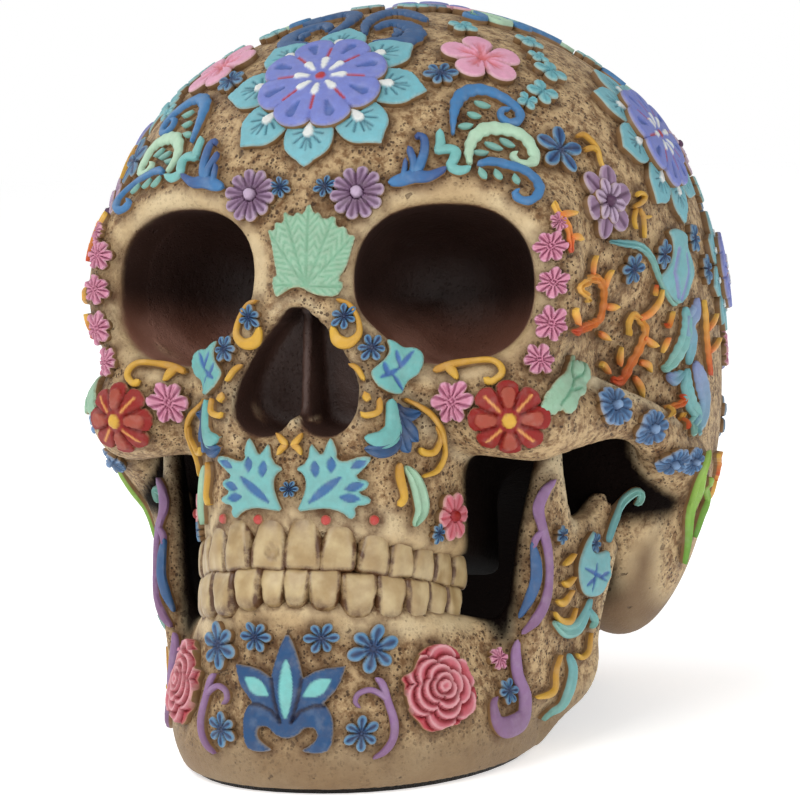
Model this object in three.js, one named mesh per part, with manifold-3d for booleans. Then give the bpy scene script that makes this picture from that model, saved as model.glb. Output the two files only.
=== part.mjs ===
import * as THREE from "three";
import Module from "manifold-3d";

// A folk-art skull for a shelf, in millimetres. The face looks along -Y, +Z is up and the table is z = 0.
// The bone is a distance field: smooth joins of simple forms, turned into a mesh of near-square facets.
// Flowers, leaves and scrolls are thin plates laid over that field, so they follow it when a size changes.

// Fits
const GLUE_GAP = 0.35;
const SEAT_GAP = 0.5;
const SOCKET_GAP = 0.6;
const FELT_THICKNESS = 0.7;
const RELIEF = 1.9;
const MODEL_TO_MIDDLE = 19.41;

// Facet sizes: the face is finer than the braincase behind and above it
const FACE_FACET = 4.4;
const BRAINCASE_FACET = 10;
const JAW_FACET = 4.9;
const TOOTH_FACET = 2.6;

// Space that each mesh is looked for in, from its lowest to its highest corner, and where the finer face ends
const CRANIUM_SPACE = [[-72, -72, -28], [72, 112, 162]];
const JAW_SPACE = [[-66, -72, -16], [66, 30, 76]];
const TOOTH_SPACE = [[-35, -66, 16], [35, 12, 62]];
const FACE_BACK = 0;
const FACE_FOOT = 42;
const FACE_TOP = 116;
const TABLE_BLOCK = [300, 300, 100];

// Braincase and face: the middle and the half sizes of each form, and how softly it runs into the others
const BRAINCASE = { at: [0, 31, 92], half: [62, 70, 53] };
const BRAINCASE_TILT = 14;
const OCCIPUT = { at: [0, 58, 50], half: [46, 36, 50], blend: 20 };
const TEMPLE = { at: [44, 36, 62], half: [16.5, 30, 34], blend: 12 };
const FOREHEAD = { at: [0, -1, 112], half: [47, 34, 32], blend: 10 };
const MIDDLE_FACE = { at: [0, -23, 86], half: [34, 20, 24], blend: 6 };
const CHEEKBONE = { at: [35.5, -29, 70], half: [12.5, 12, 9.5], blend: 6 };
const MASTOID = { at: [43, 24, 42], half: [14, 19, 25], blend: 10 };

// Bars of bone: points with a radius, from end to end
const CHEEK_ARCH = [[42, -28, 67.5, 7.5], [52, -11, 64, 5.8], [56.5, 5, 58, 5.2], [57, 19, 53, 6.5]];
const NASAL_BONES = [[0, -30, 108, 6], [0, -35, 99, 6], [0, -40.5, 92, 4.5]];
const NOSE_EDGE = [[5.5, -39, 90, 3.2], [12.5, -42, 78, 4], [12.5, -46, 67, 4]];
const BAR_BLEND = 6;
const NASAL_BLEND = 7;

// Eye sockets
const ORBIT_AT = [25.8, -34, 94];
const ORBIT_YAW = 15;
const ORBIT_PITCH = 9;
const ORBIT_HALF_WIDTH = 16.9;
const ORBIT_HALF_HEIGHT = 15;
const ORBIT_DEPTH = 27;
const ORBIT_START = 3;
const ORBIT_SQUARENESS = 2.4;
const ORBIT_EDGE = 3;
const ORBIT_RIM = 5.2;
const ORBIT_RIM_BLEND = 5;

// Nose opening, as a run of circles seen from the front, and the depth it is cut to
const NOSE_OPENING = [[0.6, 0, 88.5, 2.4], [3, 0, 82, 5], [5.6, 0, 75.5, 6.3], [6.2, 0, 73, 6.2]];
const NOSE_BACK = -38.5;
const NOSE_FLOOR = 3;
const NOSE_LIP = 1.5;

// Biting plane, which falls towards the back as the skull leans, and the two rows of teeth
const LEAN = 16;
const BITE_FRONT = -56;
const BITE_HEIGHT = 42.8;
const TOOTH_ARCH_WIDTH = 23.2;
const TOOTH_ARCH_DEPTH = 32.2;
const TOOTH_ARCH_MIDDLE = -20;
const TOOTH_ARCH_SQUARENESS = 2.3;
const TOOTH_THICKNESS = 3.8;
const TOOTH_SQUARENESS = 3;
const TOOTH_CROWDING = 0.3;
const TOOTH_BLEND = 0.6;
const BITE_CLEARANCE = 0.4;
const UPPER_TOOTH_HEIGHT = 10.8;
const LOWER_TOOTH_HEIGHT = 8.4;
const UPPER_TOOTH_WIDTHS = [6.4, 5.9, 5.6, 5.3, 5.6, 5.8, 5.4];
const LOWER_TOOTH_WIDTHS = [4.3, 5.4, 6.3, 5.8, 5.6, 5.8, 5.2];

// Upper jaw around the tooth roots
const UPPER_JAW_WIDTH = 26.5;
const UPPER_JAW_DEPTH = 34;
const UPPER_JAW_SQUARENESS = 2.4;
const UPPER_JAW_LEAN = 0.12;
const UPPER_JAW_LENGTH = 16;
const UPPER_JAW_RISE = 30;
const UPPER_JAW_ROUND = 4;
const UPPER_JAW_BLEND = 8;
const UPPER_GUM = 5.2;

// Lower jaw: a horseshoe wall that narrows from its foot to the tooth roots
const LOWER_GUM = 5;
const JAW_TOP_HEIGHT = BITE_HEIGHT - LOWER_GUM;
const JAW_LIP = 1.8;
const JAW_FLARE_FOOT = 8;
const JAW_FOOT_WIDTH = 29.5;
const JAW_FOOT_DEPTH = 37.5;
const JAW_FOOT_WALL = 7.2;
const JAW_FOOT_SPREAD = 0.42;
const JAW_FOOT_MIDDLE = -15;
const JAW_FOOT_INSET = 2.6;
const JAW_FOOT_ROUND = 9;
const JAW_TOP_WIDTH = 22.5;
const JAW_TOP_DEPTH = 31.2;
const JAW_TOP_WALL = 5.2;
const JAW_TOP_SPREAD = 0.32;
const JAW_SQUARENESS = 2.15;
const JAW_END = -11;
const JAW_END_SLANT = 0.85;
const JAW_ROUND = 5;

// Flat plate that rises at each side of the lower jaw
const RAMUS_AT = [39, -10, 25];
const RAMUS_SPREAD = 0.27;
const RAMUS_FLARE = 0.12;
const RAMUS_HALF_THICKNESS = 3.7;
const RAMUS_FRONT = [[0, -18, 20, 8], [0, -13, 40, 8], [0, -10, 60, 4.5]];
const RAMUS_MIDDLE = [[0, -9, 20, 8], [0, -5, 40, 6.5]];
const RAMUS_BACK = [[0, -8, 19, 8], [0, -5, 32, 7], [0, 2, 46, 4.5]];
const RAMUS_NOTCH = 9;
const RAMUS_WEB = 4;
const RAMUS_ROUND = 4;
const RAMUS_BLEND = 7;

// Felt pads
const JAW_FELT_WIDTH = 6.5;
const JAW_FELT_SQUARENESS = 0.93;
const REAR_FELT = { at: [0, 59], half: [8, 6] };

// Ornaments: a point near the bone that each one is laid on, its size, and its turn in degrees
const FOREHEAD_FLOWER = { at: [0, -28, 131], size: 40, petals: 24 };
const SIDE_FLOWER = { at: [54, 20, 119], size: 36, petals: 22 };
const NOSE_BRIDGE_LEAF = { at: [0, -43, 101], size: 18 };
const BROW_ROSETTE = { at: [10.6, -38, 111.6], size: 10 };
const PINK_FLOWER = { at: [28.4, -14, 135.5], size: 15, turn: 18 };
const TEMPLE_ROSETTE = { at: [50.4, -8.3, 107.6], size: 11 };
const TEMPLE_LEAF = { at: [60, 14, 89], size: 24, turn: 100 };
const MASTOID_LEAF = { at: [58, 20, 44], size: 22, turn: 70 };
const ORBIT_ROSETTE = { at: [46.4, -31, 93.5], size: 7.4 };
const CHEEK_FLOWER = { at: [39.5, -40, 69], size: 15.5 };
const CHEEK_LEAF = { at: [48.5, -31, 74.5], size: 9, turn: 60 };
const CHEEK_ROSETTE = { at: [28.8, -40, 73], size: 7 };
const ARCH_ROSETTE = { at: [54, -19, 69], size: 7 };
const NOSE_LEAF = { at: [18.2, -43.4, 78.2], size: 11, turn: 35 };
const TULIP = { at: [18.5, -47, 67], size: 11 };
const LIP_LEAF = { at: [8.8, -52, 60.2], size: 13 };
const UPPER_JAW_LEAF = { at: [20.6, -44, 55.5], size: 10, turn: 80 };
const CHIN_LILY = { at: [0, -58.6, 18.5], size: 23 };
const CHIN_ROSE = { at: [24.8, -46.5, 18.9], size: 14.5 };
const CHIN_STAR = { at: [15, -53, 27], size: 8 };
const RAMUS_LEAF = { at: [45, -6, 36], size: 13, turn: 70 };

// Scrolls: the points that each band runs through near the bone, and its width
const FOREHEAD_SCROLL = {
  path: [[25, -29, 122], [26, -25, 126.5], [32, -22, 126.5], [38, -20, 121]],
  width: 3.4,
};
const TEMPLE_FLAME = {
  path: [[47.5, -12.5, 99], [50, -9, 92], [47.5, -12, 86], [44.5, -13, 82]],
  width: 4,
};
const JAW_SCROLL = {
  path: [[35.5, -25.5, 23], [36.5, -24, 15], [34.5, -31, 9], [31.5, -37, 12]],
  width: 3.4,
};
const RAMUS_SCROLL = {
  path: [[43, -11.5, 51], [42.3, -13, 44], [40.6, -17.5, 35], [38.6, -21, 28]],
  width: 3,
};

// Outlines: lobes by direction, length and sharpness
const SERRATED_LOBES = [
  [90, 1, 3], [45, 0.8, 8], [135, 0.8, 8], [0, 0.62, 8],
  [180, 0.62, 8], [270, 0.9, 4], [225, 0.6, 8], [315, 0.6, 8],
];
const TULIP_LOBES = [[90, 1, 3], [30, 0.8, 5], [150, 0.8, 5], [270, 0.8, 3]];
const PALM_LOBES = [[70, 1, 6], [110, 0.8, 8], [150, 0.7, 8], [25, 0.8, 8], [235, 0.9, 2]];
const LILY_LOBES = [[90, 1, 8], [38, 0.8, 7], [142, 0.8, 7], [315, 0.9, 3], [225, 0.9, 3]];
const HALF_PETAL = 22.5;

// Paint
const PAINT = {
  bone: 0xcbb089, tooth: 0xd8c59c, felt: 0x17140f, teal: 0x54b3bb, periwinkle: 0x5c6cc4, mint: 0x8fd3ac,
  mauve: 0x9a74a8, pink: 0xe77fa6, blue: 0x2f64ad, red: 0xc9323c, rose: 0xd5566f,
  violet: 0x8257a6, orange: 0xe2703a, sky: 0x8fb7e0, green: 0x5cb648,
};

const wasm = await Module();
wasm.setup();

// Distance fields

function join(a, b, blend) {
  const share = THREE.MathUtils.clamp(0.5 + (0.5 * (b - a)) / blend, 0, 1);
  return b + (a - b) * share - blend * share * (1 - share);
}

function meet(a, b, blend) {
  return -join(-a, -b, blend);
}

function cut(a, b, blend) {
  return meet(a, -b, blend);
}

function mirrorHalf([x, y, z]) {
  return [Math.abs(x), y, z];
}

function ellipsoid(p, { at, half }) {
  const near = Math.hypot(...p.map((v, i) => (v - at[i]) / half[i]));
  const slope = Math.hypot(...p.map((v, i) => (v - at[i]) / half[i] ** 2));
  return (near * (near - 1)) / Math.max(slope, 1e-6);
}

function superEllipsoid(q, half, power) {
  const k = q.reduce((sum, v, i) => sum + Math.abs(v / half[i]) ** power, 1e-9) ** (1 / power);
  const slope = Math.hypot(...q.map((v, i) => (Math.abs(v / half[i]) / k) ** (power - 1) / half[i]));
  return (k - 1) / Math.max(slope, 1e-6);
}

function bar(p, points) {
  let nearest = Infinity;
  for (let i = 1; i < points.length; i++) {
    const [a, b] = [points[i - 1], points[i]];
    const along = [0, 1, 2].map((k) => b[k] - a[k]);
    const out = [0, 1, 2].map((k) => p[k] - a[k]);
    const dot = along.reduce((sum, v, k) => sum + v * out[k], 0);
    const t = THREE.MathUtils.clamp(dot / along.reduce((sum, v) => sum + v * v, 0), 0, 1);
    const gap = Math.hypot(...out.map((v, k) => v - t * along[k]));
    nearest = Math.min(nearest, gap - a[3] - t * (b[3] - a[3]));
  }
  return nearest;
}

// Distance in plan from a horseshoe: half of a rounded square at the front, with legs that spread backwards
function horseshoe(x, y, width, depth, middle, power, spread) {
  const behind = Math.max(y - middle, 0);
  const across = Math.abs(Math.abs(x) - spread * behind);
  const ahead = Math.max(middle - y, 0);
  const k = ((across / width) ** power + (ahead / depth) ** power + 1e-9) ** (1 / power);
  const slopeX = (across / k) ** (power - 1) / width ** power;
  const slopeY = (ahead / k) ** (power - 1) / depth ** power;
  return (k - 1) / Math.max(Math.hypot(slopeX, slopeY), 1e-6);
}

// Coordinates across, outwards and up in a frame turned about Z by yaw and then tipped up by pitch
function turned(p, at, yaw, pitch) {
  const [cosYaw, sinYaw] = [Math.cos(yaw), Math.sin(yaw)];
  const [cosPitch, sinPitch] = [Math.cos(pitch), Math.sin(pitch)];
  const [x, y, z] = p.map((v, i) => v - at[i]);
  const across = cosYaw * x + sinYaw * y;
  const deep = -sinYaw * x + cosYaw * y;
  return [across, sinPitch * z - cosPitch * deep, cosPitch * z + sinPitch * deep];
}

function tipped([x, y, z], [, atY, atZ], degrees) {
  const [c, s] = [Math.cos(degrees), Math.sin(degrees)];
  return [x, atY + c * (y - atY) - s * (z - atZ), atZ + s * (y - atY) + c * (z - atZ)];
}

const rad = THREE.MathUtils.degToRad;

function levelBite(p) {
  return tipped(p, [0, BITE_FRONT, BITE_HEIGHT], rad(LEAN));
}

function orbitFrame(p) {
  return turned(mirrorHalf(p), ORBIT_AT, rad(ORBIT_YAW), rad(ORBIT_PITCH));
}

function orbitRim([across, out, up]) {
  const middle = (ORBIT_HALF_WIDTH + ORBIT_HALF_HEIGHT) / 2 + ORBIT_RIM / 3;
  const stretch = ORBIT_HALF_WIDTH / ORBIT_HALF_HEIGHT;
  const ring = Math.hypot(across / stretch, up) - middle;
  return Math.hypot(ring, out + ORBIT_RIM / 2) - ORBIT_RIM;
}

function upperJaw(p) {
  const [x, y, z] = p;
  const forward = y - UPPER_JAW_LEAN * (z - BITE_HEIGHT);
  const [width, depth] = [UPPER_JAW_WIDTH, UPPER_JAW_DEPTH];
  const plan = horseshoe(x, forward, width, depth, TOOTH_ARCH_MIDDLE, UPPER_JAW_SQUARENESS, 0);
  const above = levelBite(p)[2] - BITE_HEIGHT;
  const height = Math.max(UPPER_GUM - above, above - UPPER_JAW_RISE);
  const behind = y - TOOTH_ARCH_MIDDLE - UPPER_JAW_LENGTH;
  return meet(plan, Math.max(height, behind), UPPER_JAW_ROUND);
}

function eyeSocket([across, out, up]) {
  const half = [ORBIT_HALF_WIDTH, ORBIT_DEPTH, ORBIT_HALF_HEIGHT];
  return superEllipsoid([across, out + ORBIT_START, up], half, ORBIT_SQUARENESS);
}

function noseOpening(p) {
  const [x, y, z] = mirrorHalf(p);
  return meet(bar([x, 0, z], NOSE_OPENING), y - NOSE_BACK, NOSE_FLOOR);
}

function cranium(p) {
  const half = mirrorHalf(p);
  const eye = orbitFrame(p);
  let d = ellipsoid(tipped(p, BRAINCASE.at, rad(BRAINCASE_TILT)), BRAINCASE);
  d = join(d, ellipsoid(p, OCCIPUT), OCCIPUT.blend);
  d = join(d, ellipsoid(half, TEMPLE), TEMPLE.blend);
  d = join(d, ellipsoid(p, FOREHEAD), FOREHEAD.blend);
  d = join(d, orbitRim(eye), ORBIT_RIM_BLEND);
  d = join(d, ellipsoid(p, MIDDLE_FACE), MIDDLE_FACE.blend);
  d = join(d, ellipsoid(half, CHEEKBONE), CHEEKBONE.blend);
  d = join(d, bar(half, CHEEK_ARCH), BAR_BLEND);
  d = join(d, upperJaw(p), UPPER_JAW_BLEND);
  d = join(d, bar(p, NASAL_BONES), NASAL_BLEND);
  d = join(d, bar(half, NOSE_EDGE), BAR_BLEND);
  d = join(d, ellipsoid(half, MASTOID), MASTOID.blend);
  d = cut(d, eyeSocket(eye), ORBIT_EDGE);
  return cut(d, noseOpening(p), NOSE_LIP);
}

function jawWall(p) {
  const [x, y, z] = p;
  const rise = THREE.MathUtils.smoothstep(z, JAW_FLARE_FOOT, JAW_TOP_HEIGHT - JAW_LIP);
  const mix = (foot, top) => foot + (top - foot) * rise;
  const inset = JAW_FOOT_INSET * THREE.MathUtils.clamp(1 - z / JAW_FOOT_ROUND, 0, 1) ** 2;
  const width = mix(JAW_FOOT_WIDTH, JAW_TOP_WIDTH);
  const depth = mix(JAW_FOOT_DEPTH, JAW_TOP_DEPTH);
  const middle = mix(JAW_FOOT_MIDDLE, TOOTH_ARCH_MIDDLE);
  const spread = mix(JAW_FOOT_SPREAD, JAW_TOP_SPREAD);
  const plan = horseshoe(x, y, width, depth, middle, JAW_SQUARENESS, spread);
  const wall = Math.abs(plan) - mix(JAW_FOOT_WALL, JAW_TOP_WALL) + inset;
  const top = z - JAW_TOP_HEIGHT + Math.tan(rad(LEAN)) * (y - BITE_FRONT);
  const back = (y - JAW_END - JAW_END_SLANT * z) / Math.hypot(1, JAW_END_SLANT);
  return meet(wall, Math.max(top, back), JAW_ROUND);
}

function ramus(p) {
  const [x, y, z] = mirrorHalf(p).map((v, i) => v - RAMUS_AT[i]);
  const side = x - RAMUS_SPREAD * y - RAMUS_FLARE * z;
  const flat = [0, p[1], p[2]];
  const edges = join(bar(flat, RAMUS_FRONT), bar(flat, RAMUS_BACK), RAMUS_NOTCH);
  const outline = join(edges, bar(flat, RAMUS_MIDDLE), RAMUS_WEB);
  return meet(Math.abs(side) - RAMUS_HALF_THICKNESS, outline, RAMUS_ROUND);
}

function lowerJaw(p) {
  return join(jawWall(p), ramus(p), RAMUS_BLEND);
}

function clearLowerJaw(p) {
  const underside = -p[2] - JAW_FOOT_WALL;
  return Math.max(lowerJaw(p), underside, 2 * GLUE_GAP - cranium(p));
}

function bone(p) {
  return Math.min(cranium(p), lowerJaw(p));
}

// Middles of one side's teeth along the dental arch, and the way each one faces
function toothPlaces(widths) {
  const power = 2 / TOOTH_ARCH_SQUARENESS;
  const steps = 200;
  const arch = Array.from({ length: steps + 1 }, (_, i) => {
    const turn = (i / steps) * (Math.PI / 2);
    const x = TOOTH_ARCH_WIDTH * Math.sin(turn) ** power;
    return new THREE.Vector2(x, TOOTH_ARCH_MIDDLE - TOOTH_ARCH_DEPTH * Math.cos(turn) ** power);
  });
  arch.push(new THREE.Vector2(TOOTH_ARCH_WIDTH, TOOTH_ARCH_MIDDLE + TOOTH_ARCH_DEPTH));
  const places = [];
  let start = 0;
  for (const width of widths) {
    let left = start + width / 2;
    let i = 1;
    while (left > arch[i].distanceTo(arch[i - 1])) {
      left -= arch[i].distanceTo(arch[i - 1]);
      i++;
    }
    const way = arch[i].clone().sub(arch[i - 1]).normalize();
    const at = arch[i - 1].clone().addScaledVector(way, left);
    places.push({ at, yaw: Math.atan2(way.y, way.x), width });
    start += width;
  }
  return places;
}

function toothRow(widths, low, high) {
  const places = toothPlaces(widths);
  return (p) => {
    const level = mirrorHalf(levelBite(p));
    let d = TOOTH_ARCH_DEPTH;
    for (const { at, yaw, width } of places) {
      const q = turned(level, [at.x, at.y, (low + high) / 2], yaw, 0);
      const half = [width / 2 + TOOTH_CROWDING, TOOTH_THICKNESS, (high - low) / 2];
      d = join(d, superEllipsoid(q, half, TOOTH_SQUARENESS), TOOTH_BLEND);
    }
    return d;
  };
}

const lowerEdge = BITE_HEIGHT - BITE_CLEARANCE / 2;
const upperEdge = BITE_HEIGHT + BITE_CLEARANCE / 2;
const upperTeeth = toothRow(UPPER_TOOTH_WIDTHS, upperEdge, upperEdge + UPPER_TOOTH_HEIGHT);
const lowerTeeth = toothRow(LOWER_TOOTH_WIDTHS, lowerEdge - LOWER_TOOTH_HEIGHT, lowerEdge);

function slope(field, p) {
  const step = 0.05;
  const grown = [0, 1, 2].map((k) => {
    const [ahead, behind] = [[...p], [...p]];
    ahead[k] += step;
    behind[k] -= step;
    return field(ahead) - field(behind);
  });
  return new THREE.Vector3(...grown).normalize();
}

function ontoSurface(field, p, rounds) {
  const at = new THREE.Vector3(...p);
  for (let i = 0; i < rounds; i++) {
    const d = field(at.toArray());
    at.addScaledVector(slope(field, at.toArray()), -d);
  }
  return at;
}

// Meshes

function geometryOf(points, triangles) {
  const geometry = new THREE.BufferGeometry();
  geometry.setAttribute("position", new THREE.Float32BufferAttribute(points.flat(), 3));
  geometry.setIndex(triangles.flat());
  return geometry;
}

// A grid cell's corners are numbered by bits for x, y and z, and an edge joins two that differ in one bit
const CORNERS = [0, 1, 2, 3, 4, 5, 6, 7].map((n) => [n & 1, (n >> 1) & 1, (n >> 2) & 1]);
const EDGES = CORNERS.flatMap((_, n) => [1, 2, 4].filter((bit) => !(n & bit)).map((bit) => [n, n | bit]));
const SIDES = [1, 2, 4].flatMap((bit) => [[bit, 0], [bit, bit]]);
const FACES = SIDES.map(([bit, side]) => EDGES.filter((edge) => edge.every((n) => (n & bit) === side)));

// Sorts the crossed edges of a cell into loops, one for each sheet of surface that passes through it
function loopsOf(inside) {
  const crossed = EDGES.filter(([a, b]) => inside[a] !== inside[b]);
  const loop = new Map(crossed.map((edge, i) => [edge, i]));
  const merge = (a, b) => {
    const [keep, drop] = [loop.get(a), loop.get(b)];
    for (const [edge, i] of loop) if (i === drop) loop.set(edge, keep);
  };
  const innerEnd = ([a, b]) => (inside[a] ? a : b);
  for (const face of FACES) {
    const here = face.filter((edge) => loop.has(edge));
    for (const a of here) {
      for (const b of here) if (here.length === 2 || innerEnd(a) === innerEnd(b)) merge(a, b);
    }
  }
  return loop;
}

// Places of the grid lines along one axis: stretches from a start, each cut into equal steps near a size
function gridLines(...stretches) {
  const lines = [];
  for (let i = 0; i + 2 < stretches.length; i += 2) {
    const [start, size, end] = stretches.slice(i, i + 3);
    const steps = Math.ceil((end - start) / size);
    for (let n = 0; n < steps; n++) lines.push(start + ((end - start) * n) / steps);
  }
  return [...lines, stretches.at(-1)];
}

// One point for each sheet of surface in a grid cell, and a four-sided facet round each crossed grid edge
function meshOf(field, grid) {
  const count = grid.map((lines) => lines.length - 1);
  const place = (cell) => new THREE.Vector3(...cell.map((v, k) => grid[k][v]));
  const plus = (a, b) => a.map((v, k) => v + b[k]);
  const minus = (a, b) => a.map((v, k) => v - b[k]);
  const values = new Map();
  const valueAt = (cell) => {
    const key = cell.join();
    if (!values.has(key)) values.set(key, field(place(cell).toArray()));
    return values.get(key);
  };
  const points = [];
  const crossing = (cell, [a, b]) => {
    const [from, to] = [plus(cell, CORNERS[a]), plus(cell, CORNERS[b])];
    const share = valueAt(from) / (valueAt(from) - valueAt(to));
    return place(from).lerp(place(to), share);
  };
  const sheetPoint = (cell, edges) => {
    const middle = new THREE.Vector3();
    edges.forEach((edge) => middle.addScaledVector(crossing(cell, edge), 1 / edges.length));
    const reach = 0.45 * Math.min(...cell.map((v, k) => grid[k][v + 1] - grid[k][v]));
    const move = ontoSurface(field, middle.toArray(), 3).sub(middle);
    points.push(middle.add(move.clampLength(0, reach)).toArray());
    return points.length - 1;
  };
  const cells = new Map();
  const pointsIn = (cell) => {
    const key = cell.join();
    if (cells.has(key)) return cells.get(key);
    const loop = loopsOf(CORNERS.map((corner) => valueAt(plus(cell, corner)) < 0));
    const pointOf = new Map();
    for (const i of new Set(loop.values())) {
      const edges = [...loop.keys()].filter((edge) => loop.get(edge) === i);
      const point = sheetPoint(cell, edges);
      edges.forEach((edge) => pointOf.set(edge.join(), point));
    }
    cells.set(key, pointOf);
    return pointOf;
  };
  const triangles = [];
  const addFacet = (cell, axis) => {
    const inside = valueAt(cell) < 0;
    const unit = (n) => CORNERS[1 << n % 3];
    if (inside === valueAt(plus(cell, unit(axis))) < 0) return;
    const [u, v] = [unit(axis + 1), unit(axis + 2)];
    const round = [[0, 0, 0], u, plus(u, v), v].map((back) => {
      const corner = back[0] + 2 * back[1] + 4 * back[2];
      return pointsIn(minus(cell, back)).get([corner, corner | (1 << axis)].join());
    });
    const [a, b, c, d] = inside ? round : [...round].reverse();
    const span = (m, n) => Math.hypot(...minus(points[m], points[n]));
    if (span(a, c) < span(b, d)) triangles.push([a, b, c], [a, c, d]);
    else triangles.push([a, b, d], [b, c, d]);
  };
  for (let i = 1; i < count[0]; i++) {
    for (let j = 1; j < count[1]; j++) {
      for (let k = 1; k < count[2]; k++) [0, 1, 2].forEach((axis) => addFacet([i, j, k], axis));
    }
  }
  return geometryOf(points, triangles);
}

function solidOf(geometry) {
  const mesh = new wasm.Mesh({
    numProp: 3,
    vertProperties: new Float32Array(geometry.attributes.position.array),
    triVerts: new Uint32Array(geometry.index.array),
  });
  return new wasm.Manifold(mesh);
}

function geometryFrom(solid) {
  const mesh = solid.getMesh();
  const geometry = new THREE.BufferGeometry();
  geometry.setAttribute("position", new THREE.BufferAttribute(mesh.vertProperties, 3));
  geometry.setIndex(new THREE.BufferAttribute(mesh.triVerts, 1));
  return geometry;
}

// A thin plate on the bone: rings of points whose reach from the middle follows an outline, a foot and a top
function plate({ at, size, reach, turn = 0, sides = 24, rings = 2, lift = SEAT_GAP, relief = RELIEF }) {
  const middle = ontoSurface(bone, at, 8);
  const normal = slope(bone, middle.toArray());
  const upright = Math.abs(normal.z) > 0.92 ? new THREE.Vector3(0, 1, 0) : new THREE.Vector3(0, 0, 1);
  const right = upright.cross(normal).normalize();
  const up = normal.clone().cross(right);
  const onBone = (share, angle, height) => {
    const out = share * reach(angle) * (size / 2);
    const flat = middle.clone();
    flat.addScaledVector(right, out * Math.cos(angle + rad(turn)));
    flat.addScaledVector(up, out * Math.sin(angle + rad(turn)));
    const seat = ontoSurface(bone, flat.toArray(), 6);
    return seat.addScaledVector(slope(bone, seat.toArray()), height).toArray();
  };
  const points = [];
  const triangles = [];
  const layer = (height) => {
    const first = points.length;
    points.push(onBone(0, 0, height));
    for (let ring = 1; ring <= rings; ring++) {
      for (let i = 0; i < sides; i++) points.push(onBone(ring / rings, (i / sides) * 2 * Math.PI, height));
    }
    return (ring, i) => (ring === 0 ? first : first + 1 + (ring - 1) * sides + (i % sides));
  };
  const foot = layer(lift);
  const top = layer(lift + relief);
  for (let i = 0; i < sides; i++) {
    triangles.push([top(0, 0), top(1, i), top(1, i + 1)], [foot(0, 0), foot(1, i + 1), foot(1, i)]);
    for (let ring = 1; ring < rings; ring++) {
      const next = ring + 1;
      triangles.push([top(ring, i), top(next, i), top(next, i + 1)]);
      triangles.push([top(ring, i), top(next, i + 1), top(ring, i + 1)]);
      triangles.push([foot(ring, i), foot(next, i + 1), foot(next, i)]);
      triangles.push([foot(ring, i), foot(ring, i + 1), foot(next, i + 1)]);
    }
    triangles.push([foot(rings, i), foot(rings, i + 1), top(rings, i + 1)]);
    triangles.push([foot(rings, i), top(rings, i + 1), top(rings, i)]);
  }
  return geometryOf(points, triangles);
}

// A band on the bone that follows a curve and narrows towards both of its ends
function scroll({ path, width, steps = 12, lift = SEAT_GAP, relief = RELIEF }) {
  const curve = new THREE.CatmullRomCurve3(path.map((p) => new THREE.Vector3(...p)));
  const line = curve.getSpacedPoints(steps).map((p) => ontoSurface(bone, p.toArray(), 6));
  const points = [];
  line.forEach((p, i) => {
    const normal = slope(bone, p.toArray());
    const way = line[Math.min(i + 1, steps)].clone().sub(line[Math.max(i - 1, 0)]).normalize();
    const side = normal.clone().cross(way).normalize();
    const half = (width / 2) * (0.3 + 0.7 * Math.sin((Math.PI * i) / steps));
    const beside = (s) => p.clone().addScaledVector(side, s).toArray();
    const edges = [-half, half].map((s) => ontoSurface(bone, beside(s), 4));
    for (const [edge, height] of [[0, lift], [1, lift], [1, lift + relief], [0, lift + relief]]) {
      points.push(edges[edge].clone().addScaledVector(slope(bone, edges[edge].toArray()), height).toArray());
    }
  });
  const last = 4 * steps;
  const triangles = [[0, 2, 1], [0, 3, 2], [last, last + 1, last + 2], [last, last + 2, last + 3]];
  for (let i = 0; i < steps; i++) {
    for (let k = 0; k < 4; k++) {
      const [a, b] = [4 * i + k, 4 * i + ((k + 1) % 4)];
      triangles.push([a, b + 4, a + 4], [a, b, b + 4]);
    }
  }
  return geometryOf(points, triangles);
}

// Outlines: the reach from the middle in each direction, with 1 as the longest

function petals(count, notch) {
  return (angle) => 1 - notch + notch * Math.abs(Math.cos((count * angle) / 2)) ** 0.7;
}

function lens(narrowness) {
  const power = 1.5;
  const across = (angle) => Math.abs(Math.sin(angle) * narrowness) ** power;
  return (angle) => (Math.abs(Math.cos(angle)) ** power + across(angle)) ** (-1 / power);
}

// Lobes are given by direction, length and sharpness round a small core
function lobes(core, list) {
  const one = (angle, [way, length, sharp]) => length * Math.max(Math.cos(angle - rad(way)), 0) ** sharp;
  return (angle) => Math.max(core, ...list.map((lobe) => one(angle, lobe)));
}

// Scene

const skull = new THREE.Group();
skull.name = "sugar_skull";
skull.position.y = -MODEL_TO_MIDDLE;

function add(name, geometry, paint, roughness = 0.55) {
  const material = new THREE.MeshStandardMaterial({ color: PAINT[paint], roughness, metalness: 0 });
  const mesh = new THREE.Mesh(geometry, material);
  mesh.name = name;
  skull.add(mesh);
}

function mirrored(geometry) {
  const other = geometry.clone().scale(-1, 1, 1);
  other.setIndex(Array.from(geometry.index.array).reverse());
  return other;
}

function addPair(name, geometry, paint) {
  add(`${name}_right`, geometry, paint);
  add(`${name}_left`, mirrored(geometry), paint);
}

function belowBones() {
  const top = FELT_THICKNESS + GLUE_GAP;
  return wasm.Manifold.cube(TABLE_BLOCK, true).translate([0, 0, top - TABLE_BLOCK[2] / 2]);
}

function evenGrid([low, high], size) {
  return low.map((start, k) => gridLines(start, size, high[k]));
}

function craniumGrid() {
  const [low, high] = CRANIUM_SPACE;
  return [
    gridLines(low[0], FACE_FACET, high[0]),
    gridLines(low[1], FACE_FACET, FACE_BACK, BRAINCASE_FACET, high[1]),
    gridLines(low[2], BRAINCASE_FACET, FACE_FOOT, FACE_FACET, FACE_TOP, BRAINCASE_FACET, high[2]),
  ];
}

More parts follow.
